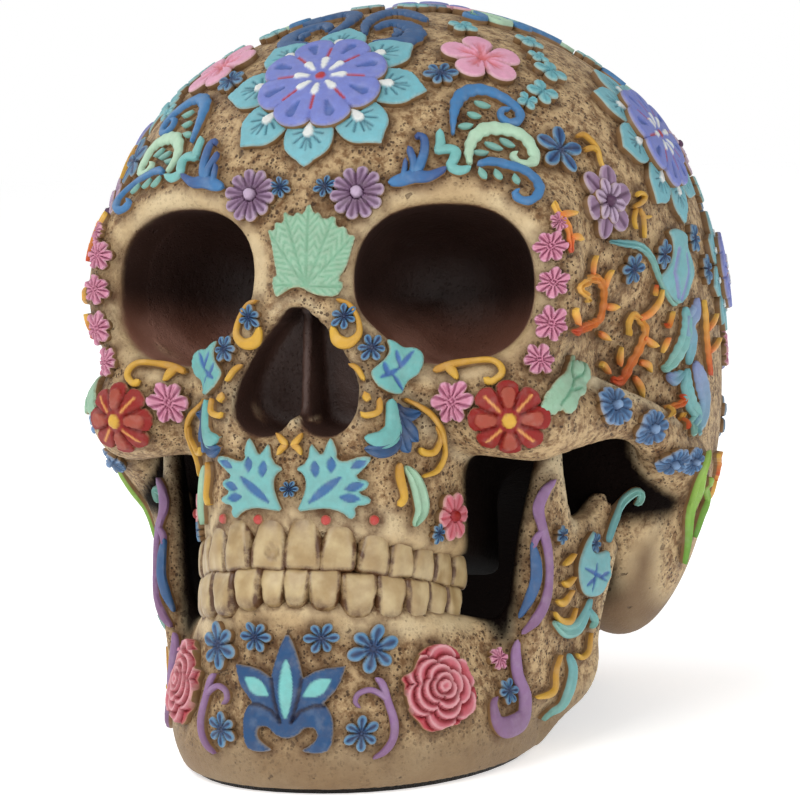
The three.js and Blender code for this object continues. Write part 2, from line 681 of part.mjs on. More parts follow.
function addBones() {
  const grown = (field) => (p) => field(p) - SOCKET_GAP;
  const toothGrid = evenGrid(TOOTH_SPACE, TOOTH_FACET);
  const upperSockets = solidOf(meshOf(grown(upperTeeth), toothGrid));
  const lowerSockets = solidOf(meshOf(grown(lowerTeeth), toothGrid));
  const craniumSolid = solidOf(meshOf(cranium, craniumGrid()));
  const jawSolid = solidOf(meshOf(clearLowerJaw, evenGrid(JAW_SPACE, JAW_FACET)));
  add("cranium", geometryFrom(craniumSolid.subtract(belowBones()).subtract(upperSockets)), "bone");
  add("lower_jaw", geometryFrom(jawSolid.subtract(belowBones()).subtract(lowerSockets)), "bone");
  add("upper_teeth", meshOf(upperTeeth, toothGrid), "tooth", 0.4);
  add("lower_teeth", meshOf(lowerTeeth, toothGrid), "tooth", 0.4);
}

function addFelt() {
  const outline = new THREE.Shape();
  const line = (offset) => {
    const steps = 24;
    return Array.from({ length: steps + 1 }, (_, i) => {
      const turn = (i / steps - 0.5) * Math.PI;
      const across = Math.sign(turn) * Math.abs(Math.sin(turn)) ** JAW_FELT_SQUARENESS;
      const ahead = Math.cos(turn) ** JAW_FELT_SQUARENESS;
      const y = JAW_FOOT_MIDDLE - (JAW_FOOT_DEPTH + offset) * ahead;
      return new THREE.Vector2((JAW_FOOT_WIDTH + offset) * across, y);
    });
  };
  outline.setFromPoints([...line(JAW_FELT_WIDTH / 2), ...line(-JAW_FELT_WIDTH / 2).reverse()]);
  const options = { depth: FELT_THICKNESS, bevelEnabled: false };
  add("jaw_felt_pad", new THREE.ExtrudeGeometry(outline, options), "felt", 0.95);
  const disc = new THREE.Shape();
  disc.absellipse(...REAR_FELT.at, ...REAR_FELT.half, 0, 2 * Math.PI);
  add("rear_felt_pad", new THREE.ExtrudeGeometry(disc, { ...options, curveSegments: 12 }), "felt", 0.95);
}

function addFlower(put, name, { at, size, petals: petalSize }) {
  const second = SEAT_GAP + RELIEF + GLUE_GAP;
  const leaves = plate({ at, size, reach: petals(8, 0.34), sides: 32 });
  const inner = { at, size: petalSize, reach: petals(8, 0.24), turn: HALF_PETAL, sides: 32, lift: second };
  put(`${name}_leaves`, leaves, "teal");
  put(`${name}_petals`, plate(inner), "periwinkle");
}

function addForehead() {
  const rosette = { reach: petals(8, 0.2), sides: 24, rings: 1 };
  addFlower(add, "forehead_flower", FOREHEAD_FLOWER);
  addFlower(addPair, "side_flower", SIDE_FLOWER);
  const serrated = lobes(0.42, SERRATED_LOBES);
  add("nose_bridge_leaf", plate({ ...NOSE_BRIDGE_LEAF, reach: serrated, sides: 32 }), "mint");
  addPair("brow_rosette", plate({ ...BROW_ROSETTE, ...rosette }), "mauve");
  addPair("pink_flower", plate({ ...PINK_FLOWER, reach: petals(5, 0.3), sides: 20 }), "pink");
  addPair("forehead_scroll", scroll(FOREHEAD_SCROLL), "blue");
  addPair("temple_rosette", plate({ ...TEMPLE_ROSETTE, ...rosette }), "mauve");
  addPair("temple_flame", scroll(TEMPLE_FLAME), "orange");
  addPair("temple_leaf", plate({ ...TEMPLE_LEAF, reach: lens(3), sides: 20 }), "sky");
  addPair("mastoid_leaf", plate({ ...MASTOID_LEAF, reach: lens(4), sides: 16 }), "green");
}

function addCheeks() {
  const small = { rings: 1 };
  addPair("orbit_rosette", plate({ ...ORBIT_ROSETTE, ...small, reach: petals(5, 0.25), sides: 20 }), "pink");
  addPair("cheek_flower", plate({ ...CHEEK_FLOWER, reach: petals(8, 0.18), sides: 32 }), "red");
  addPair("cheek_leaf", plate({ ...CHEEK_LEAF, ...small, reach: lens(1.8), sides: 16 }), "mint");
  addPair("cheek_rosette", plate({ ...CHEEK_ROSETTE, ...small, reach: petals(8, 0.2) }), "pink");
  addPair("arch_rosette", plate({ ...ARCH_ROSETTE, ...small, reach: petals(6, 0.25) }), "blue");
  addPair("nose_leaf", plate({ ...NOSE_LEAF, reach: lens(1.7), sides: 16 }), "teal");
  addPair("tulip", plate({ ...TULIP, reach: lobes(0.35, TULIP_LOBES) }), "blue");
  addPair("lip_leaf", plate({ ...LIP_LEAF, reach: lobes(0.3, PALM_LOBES), sides: 32 }), "teal");
  addPair("upper_jaw_leaf", plate({ ...UPPER_JAW_LEAF, ...small, reach: lens(2.6), sides: 16 }), "mint");
}

function addJaw() {
  add("chin_lily", plate({ ...CHIN_LILY, reach: lobes(0.3, LILY_LOBES), sides: 40 }), "blue");
  addPair("chin_rose", plate({ ...CHIN_ROSE, reach: petals(7, 0.1), sides: 28 }), "rose");
  addPair("chin_star", plate({ ...CHIN_STAR, reach: petals(6, 0.35), rings: 1 }), "blue");
  addPair("jaw_scroll", scroll(JAW_SCROLL), "violet");
  addPair("ramus_scroll", scroll(RAMUS_SCROLL), "violet");
  addPair("ramus_leaf", plate({ ...RAMUS_LEAF, reach: lens(1.9), sides: 16 }), "teal");
}

addBones();
addFelt();
addForehead();
addCheeks();
addJaw();

export default skull;
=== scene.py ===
import bpy
import numpy as np
from mathutils import Matrix, Vector, geometry, kdtree
from mathutils.bvhtree import BVHTree


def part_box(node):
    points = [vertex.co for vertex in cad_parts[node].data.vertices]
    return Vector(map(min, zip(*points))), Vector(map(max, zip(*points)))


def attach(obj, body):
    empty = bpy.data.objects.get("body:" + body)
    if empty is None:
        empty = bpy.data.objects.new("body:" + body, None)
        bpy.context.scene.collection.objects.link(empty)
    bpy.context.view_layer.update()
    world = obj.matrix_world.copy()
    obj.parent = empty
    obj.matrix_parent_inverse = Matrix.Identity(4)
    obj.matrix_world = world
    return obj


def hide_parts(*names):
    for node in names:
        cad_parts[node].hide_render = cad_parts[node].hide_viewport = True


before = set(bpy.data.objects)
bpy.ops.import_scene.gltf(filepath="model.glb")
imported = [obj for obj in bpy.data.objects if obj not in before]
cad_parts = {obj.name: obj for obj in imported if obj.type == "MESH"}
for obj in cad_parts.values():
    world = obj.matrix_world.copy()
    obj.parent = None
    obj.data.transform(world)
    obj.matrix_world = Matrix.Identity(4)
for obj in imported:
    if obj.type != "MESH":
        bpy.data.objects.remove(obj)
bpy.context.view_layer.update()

# The view: a long lens looks at the face from a little above and a little to its side.
# Lengths are millimetres of the skull's own frame, and pixels are those of an 800 by 800 picture.
PICTURE = 800
FOCAL = 3298
DISTANCE = 680
TARGET = np.array([0, 14, 66.7])
TURN, TIP, ROLL = np.radians([18.5, 6.0, -2.2])
SENSOR = 36
REAR_PAD_Y = 59
pad_low, pad_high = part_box("rear_felt_pad")
SHIFT = np.array([0, REAR_PAD_Y - 500 * (pad_low[1] + pad_high[1]), 0])


def metres(points):
    return (np.asarray(points, float) - SHIFT) / 1000


level_right = np.array([np.cos(TURN), np.sin(TURN), 0])
ahead = np.array([-np.sin(TURN) * np.cos(TIP), np.cos(TURN) * np.cos(TIP), -np.sin(TIP)])
level_up = np.cross(level_right, ahead)
view_right = np.cos(ROLL) * level_right + np.sin(ROLL) * level_up
view_up = np.cos(ROLL) * level_up - np.sin(ROLL) * level_right
eye = TARGET - DISTANCE * ahead


def linked(name, data):
    made = bpy.data.objects.new(name, data)
    bpy.context.collection.objects.link(made)
    return made


lens = bpy.data.cameras.new("view")
lens.sensor_width = SENSOR
lens.lens = FOCAL / PICTURE * SENSOR
lens.clip_start = 0.01
camera = linked("view", lens)
turn = Matrix((view_right, view_up, -ahead)).transposed().to_4x4()
camera.matrix_world = Matrix.Translation(Vector(metres(eye))) @ turn
bpy.context.scene.camera = camera

# The bone: a skull and a lower jaw cast in resin, painted cream and rubbed with a brown wash, with painted
# shade in its hollows, low down and round its ornaments.
# Each is a smooth join of plain forms, worked out as a distance and meshed about a millimetre apart.
# The eye sockets and the nose are cut in and painted a dark glossy brown, with painted shade deepest at the
# top of each socket.
BONE_STEP = 1.1
CRANIUM_BOX = ([-66, -62, -4], [66, 106, 152])
JAW_BOX = ([-62, -66, -4], [62, 24, 70])
FELT = 1.05
FELT_ROUND = 0.6
LEAN = np.radians(16)
BITE = np.array([0, -56, 42.8])
VAULT = ([0, 31, 92], [59.8, 70, 53.2])
VAULT_TILT = np.radians(14)
# Each form is its middle, its half sizes and how far it blends into the rest.
HEAD_FORMS = {
    "back": ([0, 58, 50], [46, 36, 50], 20),
    "sides": ([44, 36, 62], [16.5, 30, 34], 12),
    "forehead": ([0, 6, 107], [50, 40, 28.5], 14),
}
FACE_FORMS = {
    "middle": ([0, -23, 86], [34, 20, 24], 6),
    "cheeks": ([35.5, -29, 70], [12.5, 12, 9.5], 6),
}
MASTOID = ([43, 24, 42], [14, 19, 25])
EYE_SIDE = [[40.5, -19, 104, 6.5], [40, -19, 93, 7], [39.5, -18, 82, 7], [41, -12, 72, 7]]
CHEEK_ARCH = [
    [42, -28, 67.5, 7.5], [48, -18, 67, 5.5], [52, -11, 66, 4.2],
    [55, -3, 63.5, 3.9], [57, 6, 58.5, 4.6], [57, 19, 53, 6.5],
]
ARCH_EDGE = [
    [46.5, -23, 76, 1.4], [53.5, -10, 70, 1.3], [57.5, 0, 66, 1.2], [59.5, 8, 62, 1.2], [60, 17, 58, 1.2],
]
NOSE_BRIDGE = [[0, -30, 108, 6], [0, -35, 99, 6], [0, -40.5, 92, 4.5]]
NOSE_EDGE = [[5.5, -39, 90, 3.2], [12.5, -42, 78, 4], [12.5, -46, 67, 4]]
NOSE = [[0.6, 0, 88.5, 2.4], [3, 0, 82, 5], [5.6, 0, 75.5, 6.3], [6.2, 0, 73, 6.2]]
NOSE_BACK = -34
SEPTUM_HALF, SEPTUM_WIDENS = 0.5, 0.06
SEPTUM_TIP, SEPTUM_FRONT, SEPTUM_BACK = -46, -43.5, -30
SEPTUM_LEAN, SEPTUM_LEAN_AT = 0.2, 70
SEPTUM_MIDDLE, SEPTUM_REACH = 79, 13
ORBIT_AT = np.array([25.8, -34, 94])
ORBIT_YAW, ORBIT_PITCH = np.radians([15, 9])
ORBIT_HALF = np.array([16.9, 27, 15])
ORBIT_DEEPER = np.array([0, 3, 0])
ORBIT_POWER, ORBIT_ROUNDER = 2.4, 0.65
ORBIT_WIDER = 1.127
RIM_REACH, RIM_SINK, RIM_HALF = 17.68, 2.6, 5.2
UPPER_JAW = dict(width=26.5, depth=34, middle=-20, power=2.4, spread=0)
UPPER_LEAN = 0.12
UPPER_GUM, UPPER_RISE, UPPER_BACK = 5.2, 30, -4
TOOTH_CORE = 6.5
CORE_LOW, CORE_HIGH, CORE_BACK = -6, 10, -12
JAW_RISE = (8, 36)
# Width, depth, middle and spread of the jaw's line at its foot, and how they change on the way up.
JAW_FOOT = np.array([[29.5], [37.5], [-15], [0.42]])
JAW_CHANGE = np.array([[-7], [-6.3], [-5], [-0.1]])
JAW_POWER = 2.15
JAW_HALF, JAW_THINNER, JAW_ROUND = 7.2, 2, 5
JAW_INSET, JAW_INSET_HEIGHT = 2.6, 9
JAW_TOP, JAW_END, JAW_SLANT, JAW_SLANT_RUN = 37.8, -11, 0.85, 1.31
JAW_GAP = 0.5
BRANCH_AT = np.array([39, -10, 25])
BRANCH_SPREAD, BRANCH_BEND, BRANCH_FLARE, BRANCH_UPRIGHT = 0.27, 0.15, 0.12, 0.1
BRANCH_KNEE, BRANCH_HALF, BRANCH_THINNER = 32, 3.7, 0.06
BRANCH_FRONT = [[0, -18, 20, 8], [0, -15.5, 40, 7.5], [0, -15, 50, 5], [0, -13.5, 62, 2.4]]
BRANCH_BACK = [[0, -8, 19, 8], [0, -4, 32, 7], [0, 3, 42, 5.5], [0, 12, 50, 4.5]]
BRANCH_WEB = [[0, -9, 20, 8], [0, -5, 39, 6.5]]


def join(a, b, blend):
    share = np.clip(0.5 + 0.5 * (b - a) / blend, 0, 1)
    return b + (a - b) * share - blend * share * (1 - share)


def meet(a, b, blend):
    return -join(-a, -b, blend)


def ramp(value, start, end):
    share = np.clip((value - start) / (end - start), 0, 1)
    return share * share * (3 - 2 * share)


def half_of(p):
    return np.stack([np.abs(p[:, 0]), p[:, 1], p[:, 2]], 1)


def ellipsoid(p, at, half):
    q = (p - np.array(at)) / np.array(half)
    near = np.linalg.norm(q, axis=1)
    slope = np.linalg.norm(q / np.array(half), axis=1)
    return near * (near - 1) / np.maximum(slope, 1e-6)


def rounded_box(q, half, power):
    share = np.abs(q) / np.array(half)
    near = ((share ** power).sum(1, keepdims=True) + 1e-9) ** (1 / power)
    slope = np.linalg.norm((share / near) ** (power - 1) / np.array(half), axis=1)
    return (near[:, 0] - 1) / np.maximum(slope, 1e-6)


def smooth_run(points, steps):
    """A curve through points, with any number of values each, as finer points."""
    p = np.array(points, float)
    p = np.vstack([2 * p[0] - p[1], p, 2 * p[-1] - p[-2]])
    t = (np.arange(steps) / steps)[:, None]
    runs = []
    for a, b, c, d in zip(p, p[1:], p[2:], p[3:]):
        curve = 2 * b + (c - a) * t + (2 * a - 5 * b + 4 * c - d) * t ** 2
        runs.append(0.5 * (curve + (3 * b - a - 3 * c + d) * t ** 3))
    return np.vstack(runs + [p[-2:-1]])


def bar(p, points):
    """A round bar along a curve through points, each with its radius."""
    nearest = np.full(len(p), 1e3)
    line = smooth_run(points, 3)
    for a, b in zip(line, line[1:]):
        along = b[:3] - a[:3]
        t = np.clip((p - a[:3]) @ along / (along @ along), 0, 1)
        gap = np.linalg.norm(p - a[:3] - t[:, None] * along, axis=1)
        nearest = np.minimum(nearest, gap - a[3] - t * (b[3] - a[3]))
    return nearest


def horseshoe(x, y, width, depth, middle, power, spread):
    across = np.abs(np.abs(x) - spread * np.maximum(y - middle, 0))
    front = np.maximum(middle - y, 0)
    near = ((across / width) ** power + (front / depth) ** power + 1e-9) ** (1 / power)
    slope_x = (across / near) ** (power - 1) / width ** power
    slope_y = (front / near) ** (power - 1) / depth ** power
    return (near - 1) / np.maximum(np.hypot(slope_x, slope_y), 1e-6)


def tipped(p, at, angle):
    y, z = p[:, 1] - at[1], p[:, 2] - at[2]
    c, s = np.cos(angle), np.sin(angle)
    return np.stack([p[:, 0], at[1] + c * y - s * z, at[2] + s * y + c * z], 1)


def above_bite(p):
    return tipped(p, BITE, LEAN)[:, 2] - BITE[2]


def in_orbit(p):
    """Places across, out of and up in the nearer eye socket, from its middle."""
    x, y, z = (half_of(p) - ORBIT_AT).T
    deep = np.cos(ORBIT_YAW) * y - np.sin(ORBIT_YAW) * x
    across = np.cos(ORBIT_YAW) * x + np.sin(ORBIT_YAW) * y
    out = np.sin(ORBIT_PITCH) * z - np.cos(ORBIT_PITCH) * deep
    return np.stack([across, out, np.cos(ORBIT_PITCH) * z + np.sin(ORBIT_PITCH) * deep], 1)


def whole_cranium(p):
    """The cranium before its sockets are cut."""
    half = half_of(p)
    d = ellipsoid(tipped(p, VAULT[0], VAULT_TILT), *VAULT)
    for at, size, blend in HEAD_FORMS.values():
        d = join(d, ellipsoid(half, at, size), blend)
    across, out, up = in_orbit(p).T
    d = join(d, np.hypot(np.hypot(across / ORBIT_WIDER, up) - RIM_REACH, out + RIM_SINK) - RIM_HALF, 5)
    d = join(d, bar(half, EYE_SIDE), 8)
    for at, size, blend in FACE_FORMS.values():
        d = join(d, ellipsoid(half, at, size), blend)
    d = join(d, bar(half, CHEEK_ARCH), 3.5)
    d = join(d, bar(half, ARCH_EDGE), 2)
    plan = horseshoe(p[:, 0], p[:, 1] - UPPER_LEAN * (p[:, 2] - BITE[2]), **UPPER_JAW)
    above = above_bite(p)
    ends = np.maximum(np.maximum(UPPER_GUM - above, above - UPPER_RISE), p[:, 1] - UPPER_BACK)
    d = join(d, meet(plan, ends, 4), 8)
    core = np.maximum(np.maximum(CORE_LOW - above, above - CORE_HIGH), p[:, 1] - CORE_BACK)
    d = np.minimum(d, np.maximum(plan + TOOTH_CORE, core))
    d = join(d, bar(p, NOSE_BRIDGE), 7)
    d = join(d, bar(half, NOSE_EDGE), 6)
    return join(d, ellipsoid(half, *MASTOID), 10)


def orbit_hole(p):
    """The eye's opening, a rounded box that is rounder at its lower inner corner."""
    q = in_orbit(p) + ORBIT_DEEPER
    across, up = q[:, 0] / ORBIT_HALF[0], q[:, 2] / ORBIT_HALF[2]
    corner = 2 * np.maximum(-across, 0) * np.maximum(-up, 0) / np.maximum(across ** 2 + up ** 2, 0.02)
    return rounded_box(q, ORBIT_HALF, (ORBIT_POWER - ORBIT_ROUNDER * corner)[:, None])


def nose_hole(p):
    return bar(half_of(p) * [1, 0, 1], NOSE)


def cranium(p):
    d = meet(whole_cranium(p), -orbit_hole(p), 3)
    x, y, z = half_of(p).T
    d = meet(d, -meet(nose_hole(p), y - NOSE_BACK, 3), 1.5)
    thick = SEPTUM_HALF + SEPTUM_WIDENS * np.maximum(y - SEPTUM_TIP, 0)
    septum = np.maximum(x - thick, np.abs(z - SEPTUM_MIDDLE) - SEPTUM_REACH)
    ends = np.maximum(SEPTUM_FRONT - y + SEPTUM_LEAN * (z - SEPTUM_LEAN_AT), y - SEPTUM_BACK)
    d = join(d, np.maximum(septum, ends), 1.5)
    return meet(d, FELT - p[:, 2], FELT_ROUND)


def jaw_plan(p):
    """Distance in plan from the jaw's middle line, more than 0 outside it, and the share of the way up."""
    x, y, z = half_of(p).T
    rise = ramp(z, *JAW_RISE)
    width, depth, middle, spread = JAW_FOOT + JAW_CHANGE * rise
    return horseshoe(x, y, width, depth, middle, JAW_POWER, spread), rise


def branch_plan(p):
    """Distance from the middle plane of the jaw's upright branch, with more than 0 outside it."""
    x, y, z = (half_of(p) - BRANCH_AT).T
    bend = BRANCH_BEND * np.maximum(p[:, 1], 0) - BRANCH_UPRIGHT * np.maximum(p[:, 2] - BRANCH_KNEE, 0)
    return x - BRANCH_SPREAD * y - BRANCH_FLARE * z - bend


def jaw_form(p):
    y, z = p[:, 1], p[:, 2]
    plan, rise = jaw_plan(p)
    inset = JAW_INSET * np.clip(1 - z / JAW_INSET_HEIGHT, 0, 1) ** 2
    top = z - JAW_TOP + np.tan(LEAN) * (y - BITE[1])
    back = (y - JAW_END - JAW_SLANT * z) / JAW_SLANT_RUN
    d = meet(np.abs(plan) - JAW_HALF + JAW_THINNER * rise + inset, np.maximum(top, back), JAW_ROUND)
    side = np.abs(branch_plan(p)) - BRANCH_HALF + BRANCH_THINNER * np.clip(z - BRANCH_KNEE, 0, 25)
    flat = p * [0, 1, 1]
    outline = join(bar(flat, BRANCH_FRONT), bar(flat, BRANCH_BACK), 4)
    return join(d, meet(side, join(outline, bar(flat, BRANCH_WEB), 4), 3), 7)


def lower_jaw(p):
    return meet(np.maximum(jaw_form(p), JAW_GAP - cranium(p)), FELT - p[:, 2], FELT_ROUND)


def bone(p):
    return np.minimum(cranium(p), jaw_form(p))


SLOPE_STEP = 0.04
COARSE = 3
CLOSE = 5
PULL = 0.5


def uphill(field, p):
    here = field(p)
    slope = np.stack([field(p + SLOPE_STEP * axis) - here for axis in np.eye(3)], 1)
    return slope / np.maximum(np.linalg.norm(slope, axis=1, keepdims=True), 1e-9)


def surface_of(field, low, high, step):
    """Points and four-sided facets of a field that is alike on both sides of the middle plane."""
    lines = [np.arange(step / 2, high[0], step)]
    lines += [np.arange(low[k], high[k], step) for k in (1, 2)]
    nodes = np.stack(np.meshgrid(*lines, indexing="ij"), -1)
    few = nodes[::COARSE, ::COARSE, ::COARSE]
    side = field(few.reshape(-1, 3)).reshape(few.shape[:3])
    for axis in range(3):
        side = side.repeat(COARSE, axis).take(range(nodes.shape[axis]), axis)
    close = np.abs(side) < CLOSE * step
    side[close] = field(nodes[close])
    value = np.concatenate([side[::-1], side])
    lines[0] = np.concatenate([-lines[0][::-1], lines[0]])
    inside = value < 0
    corners = [(i, j, k) for i in (0, 1) for j in (0, 1) for k in (0, 1)]
    count = np.array(value.shape) - 1

    def corner(grid, c):
        return grid[c[0]:c[0] + count[0], c[1]:c[1] + count[1], c[2]:c[2] + count[2]]

    full = sum(corner(inside, c).astype(np.int8) for c in corners)
    cells = np.argwhere((full > 0) & (full < 8))
    number = np.full(count, -1)
    number[tuple(cells.T)] = np.arange(len(cells))
    total, met = np.zeros((len(cells), 3)), np.zeros(len(cells))
    for a in corners:
        for axis in range(3):
            if a[axis]:
                continue
            b = tuple(1 if k == axis else a[k] for k in range(3))
            va, vb = value[tuple((cells + a).T)], value[tuple((cells + b).T)]
            crossed = (va < 0) != (vb < 0)
            share = np.where(crossed, va / np.where(crossed, va - vb, 1), 0)
            spot = np.array(a) + share[:, None] * (np.array(b) - np.array(a))
            total += np.where(crossed[:, None], spot, 0)
            met += crossed
    start = np.array([line[0] for line in lines])
    points = start + (cells + total / met[:, None]) * step
    facets = []
    for axis in range(3):
        u, v = (axis + 1) % 3, (axis + 2) % 3
        layers = np.moveaxis(inside, axis, 0)
        change = np.argwhere(np.moveaxis(layers[1:] != layers[:-1], 0, axis))
        change = change[(change[:, u] > 0) & (change[:, v] > 0)]
        change = change[(change[:, u] < count[u]) & (change[:, v] < count[v])]
        unit = np.eye(3, dtype=int)
        ring = [change, change - unit[u], change - unit[u] - unit[v], change - unit[v]]
        quads = np.stack([number[tuple(r.T)] for r in ring], 1)
        outward = inside[tuple(change.T)]
        facets.append(np.where(outward[:, None], quads, quads[:, ::-1]))
    way = uphill(field, points)
    for _ in range(2):
        points = points + np.clip(-field(points), -PULL, PULL)[:, None] * way
    return points, np.vstack(facets)


def new_object(name, points, faces):
    """An object at the origin with its place in its mesh, from points in millimetres."""
    mesh = bpy.data.meshes.new(name)
    faces = np.asarray(faces)
    mesh.vertices.add(len(points))
    mesh.vertices.foreach_set("co", metres(points).astype(np.float32).ravel())
    mesh.loops.add(faces.size)
    mesh.loops.foreach_set("vertex_index", faces.astype(np.int32).ravel())
    mesh.polygons.add(len(faces))
    mesh.polygons.foreach_set("loop_start", np.arange(0, faces.size, faces.shape[1], dtype=np.int32))
    mesh.update(calc_edges=True)
    mesh.validate()
    mesh.shade_smooth()
    return linked(name, mesh)


def give(mesh, name, values, kind="FLOAT"):
    field = {"FLOAT": "value", "FLOAT_VECTOR": "vector", "FLOAT_COLOR": "color"}[kind]
    values = np.asarray(values, np.float32)
    if kind == "FLOAT_COLOR":
        values = np.hstack([values, np.ones((len(values), 1), np.float32)])
    mesh.attributes.new(name, kind, "POINT").data.foreach_set(field, values.ravel())


AIR_REACHES = (3, 8, 22)
EDGE_PROBE = 3
NOSE_SHADE = 0.75


def openness(points, normals):
    """How free the air is over each point, from 0 in a deep corner to 1 on open bone."""
    share = [np.clip(bone(points + reach * normals) / reach, 0, 1) for reach in AIR_REACHES]
    return np.mean(share, 0)


def edge_wear_and_highlight(points, normals):
    """Where the wash is rubbed off, with a painted highlight, on edges with little bone behind them."""
    behind = np.clip(-bone(points - EDGE_PROBE * normals) / EDGE_PROBE, 0, 1)
    return ramp(behind, 0.75, 0.25)


def socket_paint(p):
    """Where the dark reddish paint is, in the eye sockets and in the nose."""
    depth = -whole_cranium(p)
    eyes = ramp(depth, 0.7, 2.4) * ramp(orbit_hole(p), 2.5, 1.0)
    hole = nose_hole(p)
    nose = np.maximum(ramp(depth, 0.5, 1.8) * ramp(hole, 1.4, 0.6), ramp(hole, -0.2, -1.0))
    x, y, z = half_of(p).T
    septum = ramp(x, 2.4, 1.6) * ramp(z, 68.5, 70) * ramp(z, 92, 88) * (y > -46.5)
    return eyes, np.maximum(nose, septum) * (y < -20)


def painted_throat_shade(p, normals):
    """Where the skull is painted black, painted shade for its deep places: behind the face, behind the teeth
    and under the cheek arches.
    """
    x, y, z = half_of(p).T
    throat = ramp(y, -30, -26) * ramp(y, 12, 6) * ramp(z, 68, 63)
    throat = throat * ramp(x - 0.27 * np.clip(y, -20, 20), 47, 43)
    # Faces turned down and forward under the skull are painted black too, as painted shade.
    under = ramp(-normals[:, 1] - normals[:, 2], 0.6, 1.0) * ramp(x, 34, 30) * ramp(z, 64, 58) * (y > -28)
    pit = ramp(-normals[:, 1], 0.15, 0.45) * ramp(y, 17, 13) * (y > -14)
    pit = pit * ramp(z, 40, 45) * ramp(z, 68, 63) * ramp(bar(half_of(p), CHEEK_ARCH), 0.5, 2.5)
    behind_teeth = ramp(np.abs(above_bite(p)), 3.6, 2.6) * (y < -10)
    return np.max([throat, under, pit, behind_teeth], 0)


def jaw_inside_shade(p):
    """Where the lower jaw is painted black, painted shade on its inner side."""
    branch = ramp(branch_plan(p), 1.4, -2.4) * ramp(p[:, 1], -30, -26) * ramp(p[:, 2], 20, 26)
    return np.maximum(branch, ramp(jaw_plan(p)[0], 0.5, -1.5) * ramp(p[:, 2], 4, 8))


def facing(mesh):
    normals = np.empty(3 * len(mesh.vertices), np.float32)
    mesh.vertices.foreach_get("normal", normals)
    return normals.reshape(-1, 3).astype(float)


cranium_points, cranium_facets = surface_of(cranium, *CRANIUM_BOX, BONE_STEP)
jaw_points, jaw_facets = surface_of(lower_jaw, *JAW_BOX, BONE_STEP)
cranium_bone = new_object("cranium_bone", cranium_points, cranium_facets)
jaw_bone = new_object("jaw_bone", jaw_points, jaw_facets)
for piece, points in ((cranium_bone, cranium_points), (jaw_bone, jaw_points)):
    normals = facing(piece.data)
    upper = piece is cranium_bone
    eyes, nose = socket_paint(points) if upper else np.zeros((2, len(points)))
    give(piece.data, "hollow", np.maximum(eyes, nose))
    give(piece.data, "throat", painted_throat_shade(points, normals) if upper else jaw_inside_shade(points))
    # This value darkens corners and hollows: painted shade there, and the amount of brown wash that stays in
    # them.
    recess_wash_and_shade = 1 - openness(points, normals)
    # In the eye sockets this value comes from their height: painted shade, deepest at the top under the
    # brow.
    recess_wash_and_shade = recess_wash_and_shade + eyes * (ramp(in_orbit(points)[:, 2], -15, 5) - recess_wash_and_shade)
    give(piece.data, "recess_wash_and_shade", np.maximum(recess_wash_and_shade, NOSE_SHADE * nose))
    give(piece.data, "worn", edge_wear_and_highlight(points, normals))


def put(tree, kind, inputs=(), **settings):
    """A new node with its settings, and its inputs set or linked."""
    made = tree.nodes.new(kind)
    for key, value in settings.items():
        setattr(made, key, value)
    for name, value in dict(inputs).items():
        if isinstance(value, bpy.types.NodeSocket):
            tree.links.new(value, made.inputs[name])
        else:
            made.inputs[name].default_value = value
    return made


def first(tree, kind, inputs=(), **settings):
    """The first output of a new node."""
    return put(tree, kind, inputs, **settings).outputs[0]


def linear(red, green, blue):
    """A colour from its picture values, as the shader reads it."""
    share = np.array([red, green, blue]) / 255
    return np.where(share > 0.04045, ((share + 0.055) / 1.055) ** 2.4, share / 12.92)


def colour(*values):
    return (*linear(*values), 1)


def mix(tree, share, base, over):
    return put(tree, "ShaderNodeMix", {0: share, 6: base, 7: over}, data_type="RGBA").outputs[2]


def math(tree, operation, a, b):
    return first(tree, "ShaderNodeMath", {0: a, 1: b}, operation=operation)


def soft_step(tree, value, start, end):
    inputs = {0: value, 1: start, 2: end}
    return first(tree, "ShaderNodeMapRange", inputs, interpolation_type="SMOOTHSTEP")


def times(tree, a, b):
    return math(tree, "MULTIPLY", a, b)


def mask(tree, name):
    """A mask that the mesh carries, from 0 to 1."""
    return put(tree, "ShaderNodeAttribute", attribute_name=name).outputs["Fac"]


def noise(tree, scale, detail=2.0, rough=0.5):
    place = put(tree, "ShaderNodeTexCoord").outputs["Object"]
    inputs = {"Vector": place, "Scale": scale, "Detail": detail, "Roughness": rough}
    return first(tree, "ShaderNodeTexNoise", inputs)


def bumped(tree, shader, height, strength, distance):
    bump = put(tree, "ShaderNodeBump", {"Height": height, "Strength": strength, "Distance": distance})
    tree.links.new(bump.outputs[0], shader.inputs["Normal"])


def brown_wash_and_shade_group():
    """Thin brown paint, also used as painted shade, laid in uneven patches over any colour by the amount it
    is given.
    """
    tree = bpy.data.node_groups.new("brown_wash_and_shade", "ShaderNodeTree")
    inward = {"Color": "Color", "Wash": "Color", "Amount": "Float", "Patch Scale": "Float"}
    outward = {"Color": "Color", "Grain": "Float"}
    for way, sockets in (("INPUT", inward), ("OUTPUT", outward)):
        for name, kind in sockets.items():
            tree.interface.new_socket(name, in_out=way, socket_type="NodeSocket" + kind)
    start = put(tree, "NodeGroupInput").outputs
    uneven = soft_step(tree, noise(tree, start["Patch Scale"], 5.0, 0.65), 0.32, 0.68)
    share = times(tree, start["Amount"], math(tree, "ADD", uneven, 0.35))
    clear = first(tree, "ShaderNodeClamp", {0: share})
    washed = mix(tree, clear, start["Color"], start["Wash"])
    put(tree, "NodeGroupOutput", {"Color": washed, "Grain": noise(tree, 1900.0, 3.0)})
    return tree


brown_wash_and_shade = brown_wash_and_shade_group()


